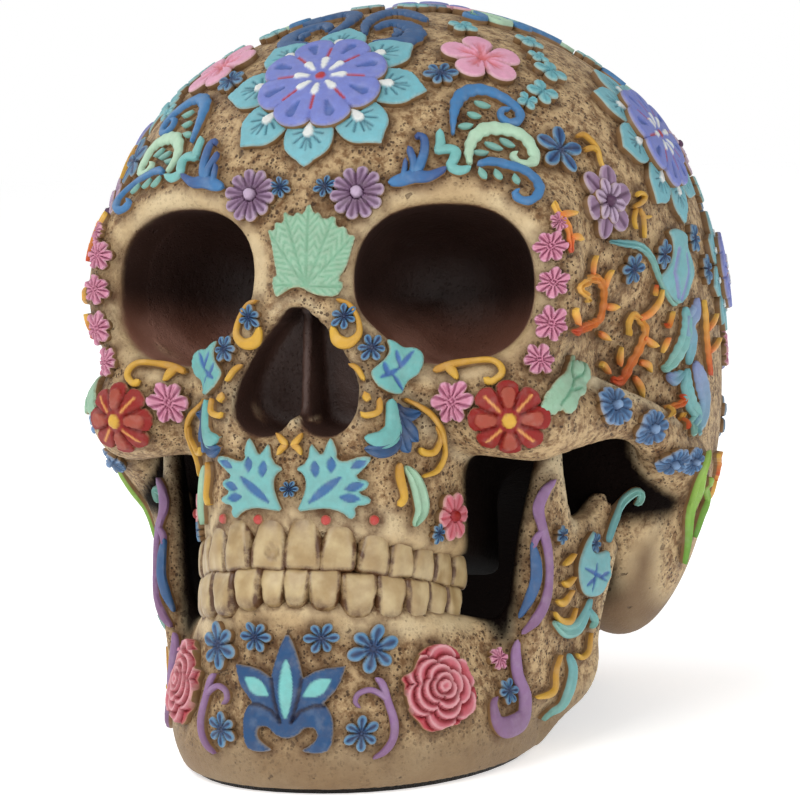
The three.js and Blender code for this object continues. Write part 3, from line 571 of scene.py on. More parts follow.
def washed_over(tree, base, wash, amount, patch_scale):
    """The brown wash over a base colour by the amount it is given, which on the bone and teeth also carries
    painted shade: its outputs are Color and Grain.
    """
    inputs = {"Color": base, "Wash": wash, "Amount": amount, "Patch Scale": patch_scale}
    return put(tree, "ShaderNodeGroup", inputs, node_tree=brown_wash_and_shade).outputs


def finish_material(name, roughness):
    """A new material, its node tree and its shader."""
    material = bpy.data.materials.new(name)
    material.use_nodes = True
    tree = material.node_tree
    shader = tree.nodes["Principled BSDF"]
    shader.inputs["Roughness"].default_value = roughness
    return material, tree, shader


def washed_and_shaded_bone():
    material, tree, shader = finish_material("washed_and_shaded_bone", 0.55)
    hollow, recess_wash_and_shade, throat = mask(tree, "hollow"), mask(tree, "recess_wash_and_shade"), mask(tree, "throat")
    ground, foot, bare_wash_and_shade = mask(tree, "ground"), mask(tree, "foot"), mask(tree, "bare_wash_and_shade")

    def spots(scale):
        """Round spots of many sizes, at most one in each cell."""
        place = put(tree, "ShaderNodeTexCoord").outputs["Object"]
        cells = put(tree, "ShaderNodeTexVoronoi", {"Vector": place, "Scale": scale}).outputs
        chance = put(tree, "ShaderNodeSeparateColor", {0: cells["Color"]}).outputs
        size = times(tree, math(tree, "SUBTRACT", chance[0], 0.12), 0.44)
        return soft_step(tree, math(tree, "SUBTRACT", size, cells["Distance"]), -0.03, 0.05)

    cloud, crumb = noise(tree, 70.0, 6.0), noise(tree, 520.0, 6.0, 0.7)
    base = mix(tree, soft_step(tree, cloud, 0.35, 0.68), colour(174, 148, 108), colour(202, 182, 144))
    sandy = mix(tree, soft_step(tree, crumb, 0.36, 0.6), colour(124, 90, 55), colour(202, 172, 128))
    base = mix(tree, ground, base, sandy)
    # Edges with little bone behind them turn pale: wash rubbed off, with a painted highlight.
    base = mix(tree, times(tree, mask(tree, "worn"), 0.85), base, colour(218, 202, 166))
    # Places far from the ornaments and low places turn darker brown: brown wash with painted shade.
    base = mix(tree, times(tree, bare_wash_and_shade, 0.85), base, colour(103, 77, 49))
    # The brown wash lies in hollows, on low places far from the ornaments and round the feet of ornaments,
    # and there it is also painted shade.
    low = math(tree, "MAXIMUM", soft_step(tree, recess_wash_and_shade, 0.35, 0.85), times(tree, bare_wash_and_shade, 0.3))
    amount = math(tree, "MAXIMUM", low, times(tree, foot, 0.8))
    wash = washed_over(tree, base, colour(92, 62, 34), amount, 150.0)
    crowd = times(tree, soft_step(tree, noise(tree, 120.0, 3.0), 0.3, 0.52), ground)
    pits = times(tree, math(tree, "MAXIMUM", spots(980.0), spots(1600.0)), crowd)
    few = times(tree, soft_step(tree, noise(tree, 480.0), 0.7, 0.75), 0.7)
    pits = math(tree, "MAXIMUM", pits, few)
    dotted = mix(tree, times(tree, pits, 0.85), wash["Color"], colour(64, 41, 24))
    reddish = mix(tree, soft_step(tree, cloud, 0.4, 0.7), colour(126, 84, 68), colour(162, 118, 102))
    # The socket paint darkens towards the top of each socket: painted shade.
    deep = times(tree, soft_step(tree, recess_wash_and_shade, 0.1, 0.9), 0.92)
    socket = mix(tree, deep, reddish, colour(24, 15, 13))
    painted = mix(tree, hollow, dotted, socket)
    # Behind the face, under the skull and inside the jaw, the bone is painted near black: painted shade for
    # its deep places.
    painted = mix(tree, throat, painted, colour(16, 10, 8))
    tree.links.new(painted, shader.inputs["Base Color"])
    gloss = math(tree, "SUBTRACT", 0.6, times(tree, hollow, 0.14))
    tree.links.new(gloss, shader.inputs["Roughness"])
    shine = math(tree, "SUBTRACT", 0.4, times(tree, throat, 0.38))
    tree.links.new(shine, shader.inputs["Specular IOR Level"])
    high = times(tree, crumb, math(tree, "ADD", times(tree, ground, 0.8), 0.15))
    high = math(tree, "SUBTRACT", high, times(tree, pits, 0.5))
    high = math(tree, "ADD", high, times(tree, wash["Grain"], 0.12))
    calm = math(tree, "SUBTRACT", 1.0, times(tree, hollow, 0.7))
    bumped(tree, shader, times(tree, high, calm), 0.9, 0.0014)
    return material


bone_finish = washed_and_shaded_bone()
for piece, node in ((cranium_bone, "cranium"), (jaw_bone, "lower_jaw")):
    piece.data.materials.append(bone_finish)
    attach(piece, "root")
    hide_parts(node)

# The teeth: two rows of short, uneven pegs set in the jaws, painted ivory and stained brown where they meet,
# with painted shade between them and towards the gums.
# Each tooth is a rounded block, narrower at its root, with its own small turn, length and lean.
# One front tooth has a worn hollow.
UPPER_WIDTHS = [6.4, 5.9, 5.6, 5.3, 5.6, 5.8, 5.4]
LOWER_WIDTHS = [4.3, 5.4, 6.3, 5.8, 5.6, 5.8, 5.2]
UPPER_TOPS = [54.0, 53.4, 52.6, 51.6, 51.0, 50.4, 50.0]
LOWER_FEET = [35.6, 35.0, 33.9, 33.8, 34.4, 35.0, 35.4]
TOOTH_ROWS = {"upper_teeth": (UPPER_WIDTHS, UPPER_TOPS, 1), "lower_teeth": (LOWER_WIDTHS, LOWER_FEET, -1)}
TOOTH_SIDE = 15
ROW_HALF, ROW_DEPTH, ROW_POWER = 23.2, 32.2, 2.3
ROW_MIDDLE, ROW_END = -20, 12.2
ROW_SHIFT = 1.0
BITE_GAP = 0.25
TOOTH_OVERLAP, TOOTH_THICK, ROOT_TAPER = 0.62, 3.6, 0.27
SHIFT_LIMIT, LENGTH_LIMIT = 0.35, 0.12
TURN_LIMIT, TIP_LIMIT = np.radians([6, 2.5])
HOLLOW_AT, HOLLOW_HALF, HOLLOW_DEPTH = (-0.8, -2.2), (1.5, 1.4), 0.9


def tooth_places(widths):
    turn = np.linspace(0, np.pi / 2, 400)
    x = ROW_HALF * np.sin(turn) ** (2 / ROW_POWER)
    y = ROW_MIDDLE - ROW_DEPTH * np.cos(turn) ** (2 / ROW_POWER)
    x, y = np.append(x, ROW_HALF), np.append(y, ROW_END)
    run = np.concatenate([[0], np.cumsum(np.hypot(np.diff(x), np.diff(y)))])
    places, start = [], 0
    for width in widths:
        at = start + width / 2
        here, there = [np.array([np.interp(s, run, x), np.interp(s, run, y)]) for s in (at - 0.4, at + 0.4)]
        way = there - here
        places.append(((here + there) / 2, np.arctan2(way[1], way[0]), width))
        start += width
    return places


def block():
    """A closed block of unit half size with a grid on each side."""
    line = np.linspace(-1, 1, TOOTH_SIDE)
    a, b = [g.ravel() for g in np.meshgrid(line, line, indexing="ij")]
    points, quads = [], []
    n = np.arange(TOOTH_SIDE * TOOTH_SIDE).reshape(TOOTH_SIDE, TOOTH_SIDE)
    quad = np.stack([n[:-1, :-1], n[1:, :-1], n[1:, 1:], n[:-1, 1:]], -1).reshape(-1, 4)
    for axis in range(3):
        for sign in (-1, 1):
            p = np.zeros((len(a), 3))
            p[:, axis], p[:, (axis + 1) % 3], p[:, (axis + 2) % 3] = sign, a, b
            quads.append((quad if sign > 0 else quad[:, ::-1]) + len(a) * len(points))
            points.append(p)
    spots, index = np.unique(np.round(np.vstack(points), 6), axis=0, return_inverse=True)
    return spots, index.ravel()[np.vstack(quads)]


block_points, block_quads = block()


def turned_pair(a, b, angle):
    c, s = np.cos(angle), np.sin(angle)
    return c * a - s * b, s * a + c * b


def tooth(width, low, high, root, seed, hollow):
    """A tooth's points across, out and up, and how brown it is stained, with painted shade at its sides and
    root: root is 1 where the root is above.
    """
    dice = np.random.default_rng(seed)
    power = 3.2 + 3.5 * ramp(-block_points[:, 2:] * root, -0.2, 0.5)
    q = block_points / ((np.abs(block_points) ** power).sum(1, keepdims=True)) ** (1 / power)
    gum = np.clip((q[:, 2] * root + 1) / 2, 0, 1)
    edge = ramp(q[:, 2] * root, -0.4, -0.9)
    across = q[:, 0] * (width / 2 + TOOTH_OVERLAP) * (1 - ROOT_TAPER * gum ** 2)
    across = across + SHIFT_LIMIT * dice.uniform(-1, 1) * (1 - gum)
    out = q[:, 1] * TOOTH_THICK * (0.86 + 0.14 * np.sin(gum * np.pi * 0.75))
    up = q[:, 2] * (high - low) / 2
    up = up + edge * root * (0.45 * q[:, 0] * dice.uniform(-1, 1) - 0.25 * q[:, 0] ** 2)
    ripple = 0.1 * np.sin(q[:, 0] * 5 + dice.uniform(0, 6)) * (np.abs(q[:, 1]) > 0.4)
    out = out + ripple * (1 - gum)
    side = ramp(np.abs(q[:, 0]), 0.66, 0.95)
    # The sides, the root end and the biting edge are stained brown, with painted shade between the teeth and
    # towards the gums.
    stain_and_shade = 0.7 * ramp(gum, 0.6, 1.0) + 1.5 * side + ramp(gum, 0.1, 0.0) + dice.uniform(0, 0.2)
    if hollow:
        near = np.hypot((across - HOLLOW_AT[0]) / HOLLOW_HALF[0], (up - HOLLOW_AT[1]) / HOLLOW_HALF[1])
        dent = ramp(near, 1.0, 0.5) * (q[:, 1] > 0.3)
        out = out - HOLLOW_DEPTH * dent
        stain_and_shade = np.maximum(stain_and_shade, 0.5 * ramp(np.abs(near - 0.85), 0.3, 0.08) * (q[:, 1] > 0.3))
    turn_by, tip_by = TURN_LIMIT * dice.uniform(-1, 1), TIP_LIMIT * dice.uniform(-1, 1)
    across, out = turned_pair(across, out, turn_by)
    across, up = turned_pair(across, up, tip_by)
    up = up + (low + high) / 2 + LENGTH_LIMIT * dice.uniform(-1, 1)
    return across, out + SHIFT_LIMIT * dice.uniform(-1, 1), up, np.clip(stain_and_shade, 0, 1)


def stained_and_shaded_ivory():
    material, tree, shader = finish_material("stained_and_shaded_ivory", 0.4)
    cloud = noise(tree, 240.0, 3.0)
    ivory = mix(tree, soft_step(tree, cloud, 0.3, 0.75), colour(160, 134, 92), colour(190, 169, 127))
    wash = washed_over(tree, ivory, colour(84, 54, 29), mask(tree, "stain_and_shade"), 420.0)
    tree.links.new(wash["Color"], shader.inputs["Base Color"])
    bumped(tree, shader, cloud, 0.35, 0.0005)
    shader.inputs["Subsurface Weight"].default_value = 0.05
    shader.inputs["Subsurface Radius"].default_value = (0.002, 0.0012, 0.0007)
    return material


ivory_finish = stained_and_shaded_ivory()
tooth_spots = []
for row, (widths, roots, root) in TOOTH_ROWS.items():
    row_points, row_quads, row_stain = [], [], []
    for side in (1, -1):
        for number, (at, yaw, width) in enumerate(tooth_places(widths)):
            seed = 300 + 10 * number + side + 100 * root
            span = sorted([BITE[2] - BITE_GAP * root, roots[number]])
            worn = row == "upper_teeth" and side < 0 and number == 0
            across, out, up, stain_and_shade = tooth(width, *span, root, seed, worn)
            level = np.stack([
                at[0] + np.cos(yaw) * across + np.sin(yaw) * out,
                at[1] + np.sin(yaw) * across - np.cos(yaw) * out,
                up,
            ], 1)
            set_in = tipped(level, BITE, -LEAN)
            set_in[:, 0] *= side
            set_in[:, 0] -= ROW_SHIFT
            quads = block_quads[:, ::-1] if side > 0 else block_quads
            row_quads.append(quads + len(block_points) * len(row_points))
            row_points.append(set_in)
            row_stain.append(stain_and_shade)
    teeth = new_object(row + "_set", np.vstack(row_points), np.vstack(row_quads))
    give(teeth.data, "stain_and_shade", np.concatenate(row_stain))
    teeth.data.materials.append(ivory_finish)
    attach(teeth, "root")
    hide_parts(row)
    tooth_spots.append(np.vstack(row_points))

# The felt: thin black pads glued under the jaw and the back of the head.
# The skull stands on them without scratching the shelf.
# The cut pads keep their shape, and get the short uneven pile of wool felt.


def wool_felt():
    material, tree, shader = finish_material("wool_felt", 0.95)
    pile = noise(tree, 2600.0, 6.0)
    dark = mix(tree, soft_step(tree, pile, 0.35, 0.7), colour(14, 12, 10), colour(38, 34, 30))
    tree.links.new(dark, shader.inputs["Base Color"])
    bumped(tree, shader, pile, 0.8, 0.0005)
    shader.inputs["Sheen Weight"].default_value = 0.3
    return material


felt_finish = wool_felt()
for node in ("jaw_felt_pad", "rear_felt_pad"):
    for slot in bpy.data.objects[node].material_slots:
        slot.material = felt_finish

# The forehead flower: eight separate teal leaves under a disc of eight violet-blue petals, cast in relief.
# Their tops are painted with white drops, dark veins and red lines, and their sides keep the bone's colour.
# Every flat ornament is drawn in millimetres and laid on the bone by one tree.
LAMP_GAIN = 1.25


def tone(*values):
    """An ornament's paint, less what the lamps add to it."""
    return linear(*values) / LAMP_GAIN


OUTER_STEP = 1.5
OUTER_BOX = ([-66, -66, -4], [66, 106, 152])
RELIEF = 1.6
SUNK = -0.9
WALL_DROP = 0.14
ROW_SPACING = 0.866
EDGE_CLEAR = 0.55
CUT_PRECISION = 1e-5
SHARP_ANGLE = np.radians(48)
WALL = tone(150, 116, 76)
# The sides of the plates darken towards their sunk foot: painted shade where they meet the bone.
WALL_FOOT_SHADE = tone(92, 62, 36)
WORN_HIGHLIGHT = tone(206, 186, 148)
TEAL = tone(118, 186, 198)
TEAL_LINE = tone(44, 104, 124)
WHITE = tone(240, 244, 240)
PERIWINKLE = tone(124, 138, 212)
DEEP_BLUE = tone(72, 104, 178)
RED = tone(184, 52, 62)


def cut_corners(outline, rounds):
    p = np.array(outline, float)
    for _ in range(rounds):
        after = np.roll(p, -1, 0)
        p = np.stack([0.75 * p + 0.25 * after, 0.25 * p + 0.75 * after], 1).reshape(-1, 2)
    return p


def run_along(points):
    """How far along a line each of its points is."""
    return np.concatenate([[0], np.cumsum(np.linalg.norm(np.diff(points, axis=0), axis=1))])


def even_line(outline, step):
    """A closed line with points a step apart."""
    p = np.vstack([outline, outline[:1]])
    run = run_along(p)
    count = max(int(run[-1] / step), 8)
    at = np.arange(count) / count * run[-1]
    return np.stack([np.interp(at, run, p[:, 0]), np.interp(at, run, p[:, 1])], 1)


def gap_to_line(p, a, b):
    """Distance from points to a straight line between two points, and how far along it."""
    a, b = np.array(a, float), np.array(b, float)
    along = b - a
    t = np.clip((p - a) @ along / max(along @ along, 1e-9), 0, 1)
    return np.linalg.norm(p - a - t[:, None] * along, axis=1), t


def gap_to_outline(p, outline):
    after = np.roll(outline, -1, 0)
    nearest = np.full(len(p), 1e3)
    for a, b in zip(outline, after):
        nearest = np.minimum(nearest, gap_to_line(p, a, b)[0])
    return nearest


def within(p, outline):
    inside = np.zeros(len(p), bool)
    for a, b in zip(outline, np.roll(outline, -1, 0)):
        if a[1] == b[1]:
            continue
        crossed = (a[1] > p[:, 1]) != (b[1] > p[:, 1])
        inside ^= crossed & (p[:, 0] < (b[0] - a[0]) * (p[:, 1] - a[1]) / (b[1] - a[1]) + a[0])
    return inside


def plate(outline, paint, step=0.45, relief=RELIEF, edge=0.4, base=0.0, rounds=2, crown=0.0):
    """A raised plate: flat places, heights and colours of its top, and walls that go down into the bone.

    The paint function takes places and their distance from the outline, and gives colours and dents.
    """
    line = even_line(cut_corners(outline, rounds), step)
    low, high = line.min(0), line.max(0)
    rows = []
    for number, y in enumerate(np.arange(low[1], high[1], step * ROW_SPACING)):
        x = np.arange(low[0] + step / 2 * (number % 2), high[0], step)
        rows.append(np.stack([x, np.full(len(x), y)], 1))
    spots = np.vstack(rows)
    spots = spots[within(spots, line)]
    spots = spots[gap_to_outline(spots, line) > EDGE_CLEAR * step]
    n = len(line)
    ring = [(i, (i + 1) % n) for i in range(n)]
    given = [Vector(p) for p in np.vstack([line, spots])]
    made = geometry.delaunay_2d_cdt(given, ring, [list(range(n))], 1, CUT_PRECISION)
    flat = np.array([list(v) for v in made[0]])
    top = np.array(made[2])
    inset = gap_to_outline(flat, line)
    colours, dents = paint(flat, inset)
    # A thin pale band runs round the top edge of each plate: rubbed paint with a painted highlight.
    colours = cover(colours, 0.4 * ramp(inset, 0.22, 0.0), WORN_HIGHLIGHT)
    rim = np.minimum(inset, edge)
    height = base + relief - edge + np.sqrt(np.maximum(edge ** 2 - (edge - rim) ** 2, 0)) - dents
    height = height + crown * ramp(inset, 0, max(inset.max(), 0.1))
    sides = {}
    for tri in top:
        for a, b in zip(tri, np.roll(tri, -1)):
            sides[(int(a), int(b))] = sides.get((int(a), int(b)), 0) + 1
    border = [(a, b) for a, b in sides if (b, a) not in sides]
    rim_points = sorted({a for edge_pair in border for a in edge_pair})
    upper = {a: len(flat) + i for i, a in enumerate(rim_points)}
    lower = {a: len(flat) + len(rim_points) + i for i, a in enumerate(rim_points)}
    ring_flat = flat[rim_points]
    walls = []
    for a, b in border:
        walls += [(b, a, upper[a]), (b, upper[a], upper[b])]
        walls += [(upper[b], upper[a], lower[a]), (upper[b], lower[a], lower[b])]
    loop = [Vector(p) for p in ring_flat]
    index = {a: i for i, a in enumerate(rim_points)}
    loop_edges = [(index[a], index[b]) for a, b in border]
    under = geometry.delaunay_2d_cdt(loop, loop_edges, [], 1, CUT_PRECISION)
    base_ids = [lower[rim_points[ids[0]]] if ids else None for ids in under[3]]
    foot = [tuple(base_ids[i] for i in reversed(tri)) for tri in inside_line(under, line)]
    foot = [tri for tri in foot if None not in tri]
    wall_top = height[rim_points] - WALL_DROP
    return dict(
        flat=np.vstack([flat, ring_flat, ring_flat]),
        height=np.concatenate([height, wall_top, np.full(len(rim_points), SUNK)]),
        paint=np.vstack([colours, plain(WALL, rim_points), plain(WALL_FOOT_SHADE, rim_points)]),
        faces=np.vstack([top, np.array(walls), np.array(foot).reshape(-1, 3)]).astype(int),
    )


def inside_line(made, line):
    """The triangles of a filled loop whose middles lie inside the outline."""
    flat = np.array([list(v) for v in made[0]])
    tris = np.array(made[2])
    if len(tris) == 0:
        return []
    return [tuple(tri) for tri in tris[within(flat[tris].mean(1), line)]]


def together(*parts):
    """Several plates as one."""
    counts = np.cumsum([0] + [len(part["flat"]) for part in parts])
    joined = {key: np.concatenate([part[key] for part in parts]) for key in ("flat", "height", "paint")}
    joined["faces"] = np.vstack([part["faces"] + count for part, count in zip(parts, counts)])
    return joined


def spun(points, degrees):
    return np.stack(turned_pair(*np.asarray(points, float).T, np.radians(degrees)), 1)


def mirrored_half(half):
    """A closed outline from its upper half along +X."""
    p = np.array(half, float)
    return np.vstack([p, (p * [1, -1])[::-1]])


def plain(paint, points):
    return np.tile(paint, (len(points), 1))


def cover(colours, share, paint):
    return colours + share[:, None] * (np.asarray(paint) - colours)


def line_on(p, a, b, width, taper=0.0):
    """A line between two points, narrower towards its ends by its taper."""
    gap, t = gap_to_line(p, a, b)
    half = width / 2 * (1 - taper * (2 * t - 1) ** 2)
    return ramp(gap - half, 0.16, -0.16)


def drop_on(p, a, b, start, end):
    """A drop between two points, with its half width at each."""
    gap, t = gap_to_line(p, a, b)
    return ramp(gap - start - t * (end - start), 0.14, -0.14)


FLOWER_LEAF = [
    [7.6, 1.6], [9, 3.4], [11.5, 4.8], [14.4, 5.2], [16.8, 4.7], [18.2, 3.6], [19.2, 2.2], [20.2, 1.2],
    [21.2, 0.0],
]
LEAF_VEIN_LEANS = (15, 45, 75, 105)


def flower_leaves():
    leaf = mirrored_half(FLOWER_LEAF)

    def paint_leaf(way):
        def paint(p, inset):
            q = spun(p, -way)
            colours = plain(TEAL, p) * (0.93 + 0.14 * ramp(q[:, 0], 10, 18))[:, None]
            dents = 0.25 * ramp(q[:, 0], 14, 10)
            for side in (-1, 1):
                for lean in LEAF_VEIN_LEANS:
                    out = np.array([np.cos(np.radians(lean)), side * np.sin(np.radians(lean))])
                    start = np.array([12.4, 0]) + out * [2.0, 1.35]
                    vein = line_on(q, start, start + out * (2.4 if lean < 60 else 1.7), 0.45)
                    colours, dents = cover(colours, 0.85 * vein, TEAL_LINE), dents + 0.3 * vein
            vein = line_on(q, [14.6, 0], [17.4, 0], 0.4)
            colours = cover(colours, 0.7 * vein, TEAL_LINE)
            drop = drop_on(q, [10.4, 0], [13.2, 0], 0.35, 1.05)
            return cover(colours, drop, WHITE), dents - 0.35 * drop

        return paint

    return together(*[plate(spun(leaf, way), paint_leaf(way), step=0.36) for way in range(-90, 270, 45)])


def flower_disc():
    angle = np.linspace(0, 2 * np.pi, 160, endpoint=False)
    lobe = np.abs(np.cos(4 * angle + 0.5 * np.pi)) ** 0.55
    outline = ((10.6 + 2.2 * lobe)[:, None]) * np.stack([np.cos(angle), np.sin(angle)], 1)

    def paint(p, inset):
        colours = plain(PERIWINKLE, p)
        radius = np.linalg.norm(p, axis=1)
        dents = 0.35 * ramp(radius, 4.5, 1.0)
        for way in range(0, 360, 45):
            q = spun(p, -way - 22.5)
            inlay = drop_on(q, [7.2, 0], [10.0, 0], 0.35, 0.95)
            colours, dents = cover(colours, 0.9 * inlay, DEEP_BLUE), dents + 0.4 * inlay
            q = spun(p, -way)
            red = line_on(q, [5.3, 0], [8.4, 0], 0.55)
            colours, dents = cover(colours, red, RED), dents + 0.25 * red
            groove = line_on(q, [9.0, 0], [11.4, 0], 0.5)
            dents = dents + 0.35 * groove
            drop = drop_on(q, [2.5, 0], [4.4, 0], 0.45, 0.75)
            colours, dents = cover(colours, drop, WHITE), dents - 0.3 * drop
        middle = ramp(radius, 1.15, 0.85)
        return cover(colours, middle, RED), dents - 0.3 * middle

    return plate(outline, paint, step=0.36, base=RELIEF + 0.1, relief=1.3, edge=0.6, rounds=0)


def outer_form(p):
    """The bone before its sockets are cut, which the ornaments lie on."""
    return meet(np.minimum(whole_cranium(p), jaw_form(p)), FELT - p[:, 2], FELT_ROUND)


outer_points, outer_facets = surface_of(outer_form, *OUTER_BOX, OUTER_STEP)
whole_bone = new_object("whole_bone", outer_points, outer_facets)


def seat(at):
    """The nearest point of the bone to a place, and the way that the bone faces there."""
    p = np.array([at], float)
    for _ in range(8):
        p = p - outer_form(p)[:, None] * uphill(outer_form, p)
    return p[0], uphill(outer_form, p)[0]


VAULT_MIDDLE = np.array([0, 31, 88])
VAULT_REACH = 62


def around(spots):
    """Places on the head from their angle round it and up it: round it, 0 is the right and 90 the back."""
    places = []
    for way, rise, turn_by, size in spots:
        a, e = np.radians([way, rise])
        out = np.array([np.cos(e) * np.cos(a), np.cos(e) * np.sin(a), np.sin(e)])
        places.append((VAULT_MIDDLE + VAULT_REACH * out, turn_by, size))
    return places


def upright_frame(normal):
    up = np.array([0, 1, 0]) if abs(normal[2]) > 0.92 else np.array([0, 0, 1])
    right = np.cross(up, normal)
    right = right / np.linalg.norm(right)
    return right, np.cross(normal, right)


def new_tree(name, sockets):
    """A geometry tree with named inputs, one geometry output and its input node."""
    tree = bpy.data.node_groups.new(name, "GeometryNodeTree")
    for socket, kind in sockets.items():
        tree.interface.new_socket(socket, in_out="INPUT", socket_type=kind)
    tree.interface.new_socket("Geometry", in_out="OUTPUT", socket_type="NodeSocketGeometry")
    return tree, put(tree, "NodeGroupInput").outputs


def named(tree, name, kind="FLOAT"):
    return first(tree, "GeometryNodeInputNamedAttribute", {"Name": name}, data_type=kind)


def shape_of(tree, piece):
    return put(tree, "GeometryNodeObjectInfo", {"Object": piece}).outputs["Geometry"]


def bone_under(tree, target):
    """The nearest place on the bone to each point, and the way that the bone faces there."""
    place = first(tree, "GeometryNodeInputPosition")
    near = put(tree, "GeometryNodeProximity", {0: target, "Sample Position": place}, target_element="FACES")
    faced = first(tree, "GeometryNodeInputNormal")
    inputs = {"Mesh": target, "Value": faced, "Sample Position": place}
    normal = first(tree, "GeometryNodeSampleNearestSurface", inputs, data_type="FLOAT_VECTOR")
    return near.outputs["Position"], normal


def raised(tree, shape, target, height):
    """Moves points to their heights over the bone."""
    spot, normal = bone_under(tree, target)
    lift = first(tree, "ShaderNodeVectorMath", {0: normal, "Scale": height}, operation="SCALE")
    place = first(tree, "ShaderNodeVectorMath", {0: spot, 1: lift}, operation="ADD")
    return first(tree, "GeometryNodeSetPosition", {"Geometry": shape, "Position": place})


def finish_tree(tree, start, shape):
    """Copies a shape to the other side where that is asked for, and gives it its finish."""
    other = first(tree, "GeometryNodeTransform", {"Geometry": shape, "Scale": (-1, 1, 1)})
    other = first(tree, "GeometryNodeFlipFaces", {0: other})
    pair = put(tree, "GeometryNodeJoinGeometry", {0: shape})
    tree.links.new(other, pair.inputs[0])
    inputs = {"Switch": start["Both Sides"], "False": shape, "True": pair.outputs[0]}
    chosen = first(tree, "GeometryNodeSwitch", inputs, input_type="GEOMETRY")
    real = first(tree, "GeometryNodeRealizeInstances", {0: chosen})
    painted = first(tree, "GeometryNodeSetMaterial", {"Geometry": real, "Material": start["Finish"]})
    put(tree, "NodeGroupOutput", {"Geometry": painted})


ON_BONE = {
    "Bone": "NodeSocketObject",
    "Both Sides": "NodeSocketBool",
    "Finish": "NodeSocketMaterial",
}


def lay_on_bone_tree():
    """Sets an ornament on points and bends it down to the bone by its heights."""
    tree, start = new_tree("lay_on_bone", {
        "Places": "NodeSocketGeometry", "Ornament": "NodeSocketObject", **ON_BONE})
    ornament = shape_of(tree, start["Ornament"])
    target = shape_of(tree, start["Bone"])
    axes = {
        "Primary Axis": named(tree, "axis", "FLOAT_VECTOR"),
        "Secondary Axis": named(tree, "right", "FLOAT_VECTOR"),
    }
    turned = first(tree, "FunctionNodeAxesToRotation", axes, primary_axis="Z", secondary_axis="X")
    inputs = {
        "Points": start["Places"], "Instance": ornament,
        "Rotation": turned, "Scale": named(tree, "size"),
    }
    set_out = first(tree, "GeometryNodeInstanceOnPoints", inputs)
    real = first(tree, "GeometryNodeRealizeInstances", {0: set_out})
    finish_tree(tree, start, raised(tree, real, target, named(tree, "height")))
    return tree


lay_on_bone = lay_on_bone_tree()


def run_tree(piece, tree, settings, name):
    """Runs a tree on a piece and keeps the result as a plain mesh."""
    modifier = piece.modifiers.new("shape", "NODES")
    modifier.node_group = tree
    for item in tree.interface.items_tree:
        if item.item_type == "SOCKET" and item.in_out == "INPUT" and item.name in settings:
            modifier[item.identifier] = settings[item.name]
    shown = piece.evaluated_get(bpy.context.evaluated_depsgraph_get())
    mesh = bpy.data.meshes.new_from_object(shown)
    mesh.name = name
    piece.modifiers.remove(modifier)
    piece.data = mesh
    piece.name = name
    mesh.set_sharp_from_angle(angle=SHARP_ANGLE)


ornament_spots = []


def lay(name, shape, places, nodes=(), both=True):
    """Lays copies of a plate at places, each a point near the bone with a turn and a size."""
    flat = np.column_stack([shape["flat"], np.zeros(len(shape["flat"]))])
    drawn = new_object(name + "_drawn", flat + SHIFT, shape["faces"])
    give(drawn.data, "height", shape["height"] / 1000)
    give(drawn.data, "paint", shape["paint"], "FLOAT_COLOR")
    points, axes, rights, sizes = [], [], [], []
    for at, turn_by, size in places:
        point, normal = seat(at)
        right, up = upright_frame(normal)
        angle = np.radians(turn_by)
        points.append(point)
        axes.append(normal)
        rights.append(np.cos(angle) * right + np.sin(angle) * up)
        sizes.append(size)
    piece = new_object(name + "_places", np.array(points), np.zeros((0, 3), int))
    give(piece.data, "axis", axes, "FLOAT_VECTOR")
    give(piece.data, "right", rights, "FLOAT_VECTOR")
    give(piece.data, "size", sizes)
    settings = {"Ornament": drawn, "Bone": whole_bone, "Both Sides": both, "Finish": relief_paint}
    run_tree(piece, lay_on_bone, settings, name)
    bpy.data.objects.remove(drawn)
    keep(piece, nodes)


def keep(piece, nodes):
    spots = np.empty(3 * len(piece.data.vertices), np.float32)
    piece.data.vertices.foreach_get("co", spots)
    ornament_spots.append(spots.reshape(-1, 3) * 1000 + SHIFT)
    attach(piece, "root")
    if nodes:
        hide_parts(*nodes)


def satin_paint(name, roughness, grime, patch_scale):
    """Brush-painted relief: the piece's own paint, a little uneven, with a little grime in uneven patches.
    """
    material, tree, shader = finish_material(name, roughness)
    paint = put(tree, "ShaderNodeAttribute", attribute_name="paint").outputs["Color"]
    brush = noise(tree, patch_scale, 4.0)
    thin = times(tree, soft_step(tree, brush, 0.45, 0.75), 0.06)
    pale = mix(tree, thin, paint, colour(236, 236, 230))
    wash = washed_over(tree, pale, colour(96, 70, 48), grime, 520.0)
    tree.links.new(wash["Color"], shader.inputs["Base Color"])
    sheen = math(tree, "ADD", times(tree, brush, 0.25), roughness - 0.12)
    tree.links.new(sheen, shader.inputs["Roughness"])
    shader.inputs["Specular IOR Level"].default_value = 0.3
    uneven = math(tree, "ADD", brush, times(tree, wash["Grain"], 0.4))
    bumped(tree, shader, uneven, 0.3, 0.0004)
    return material


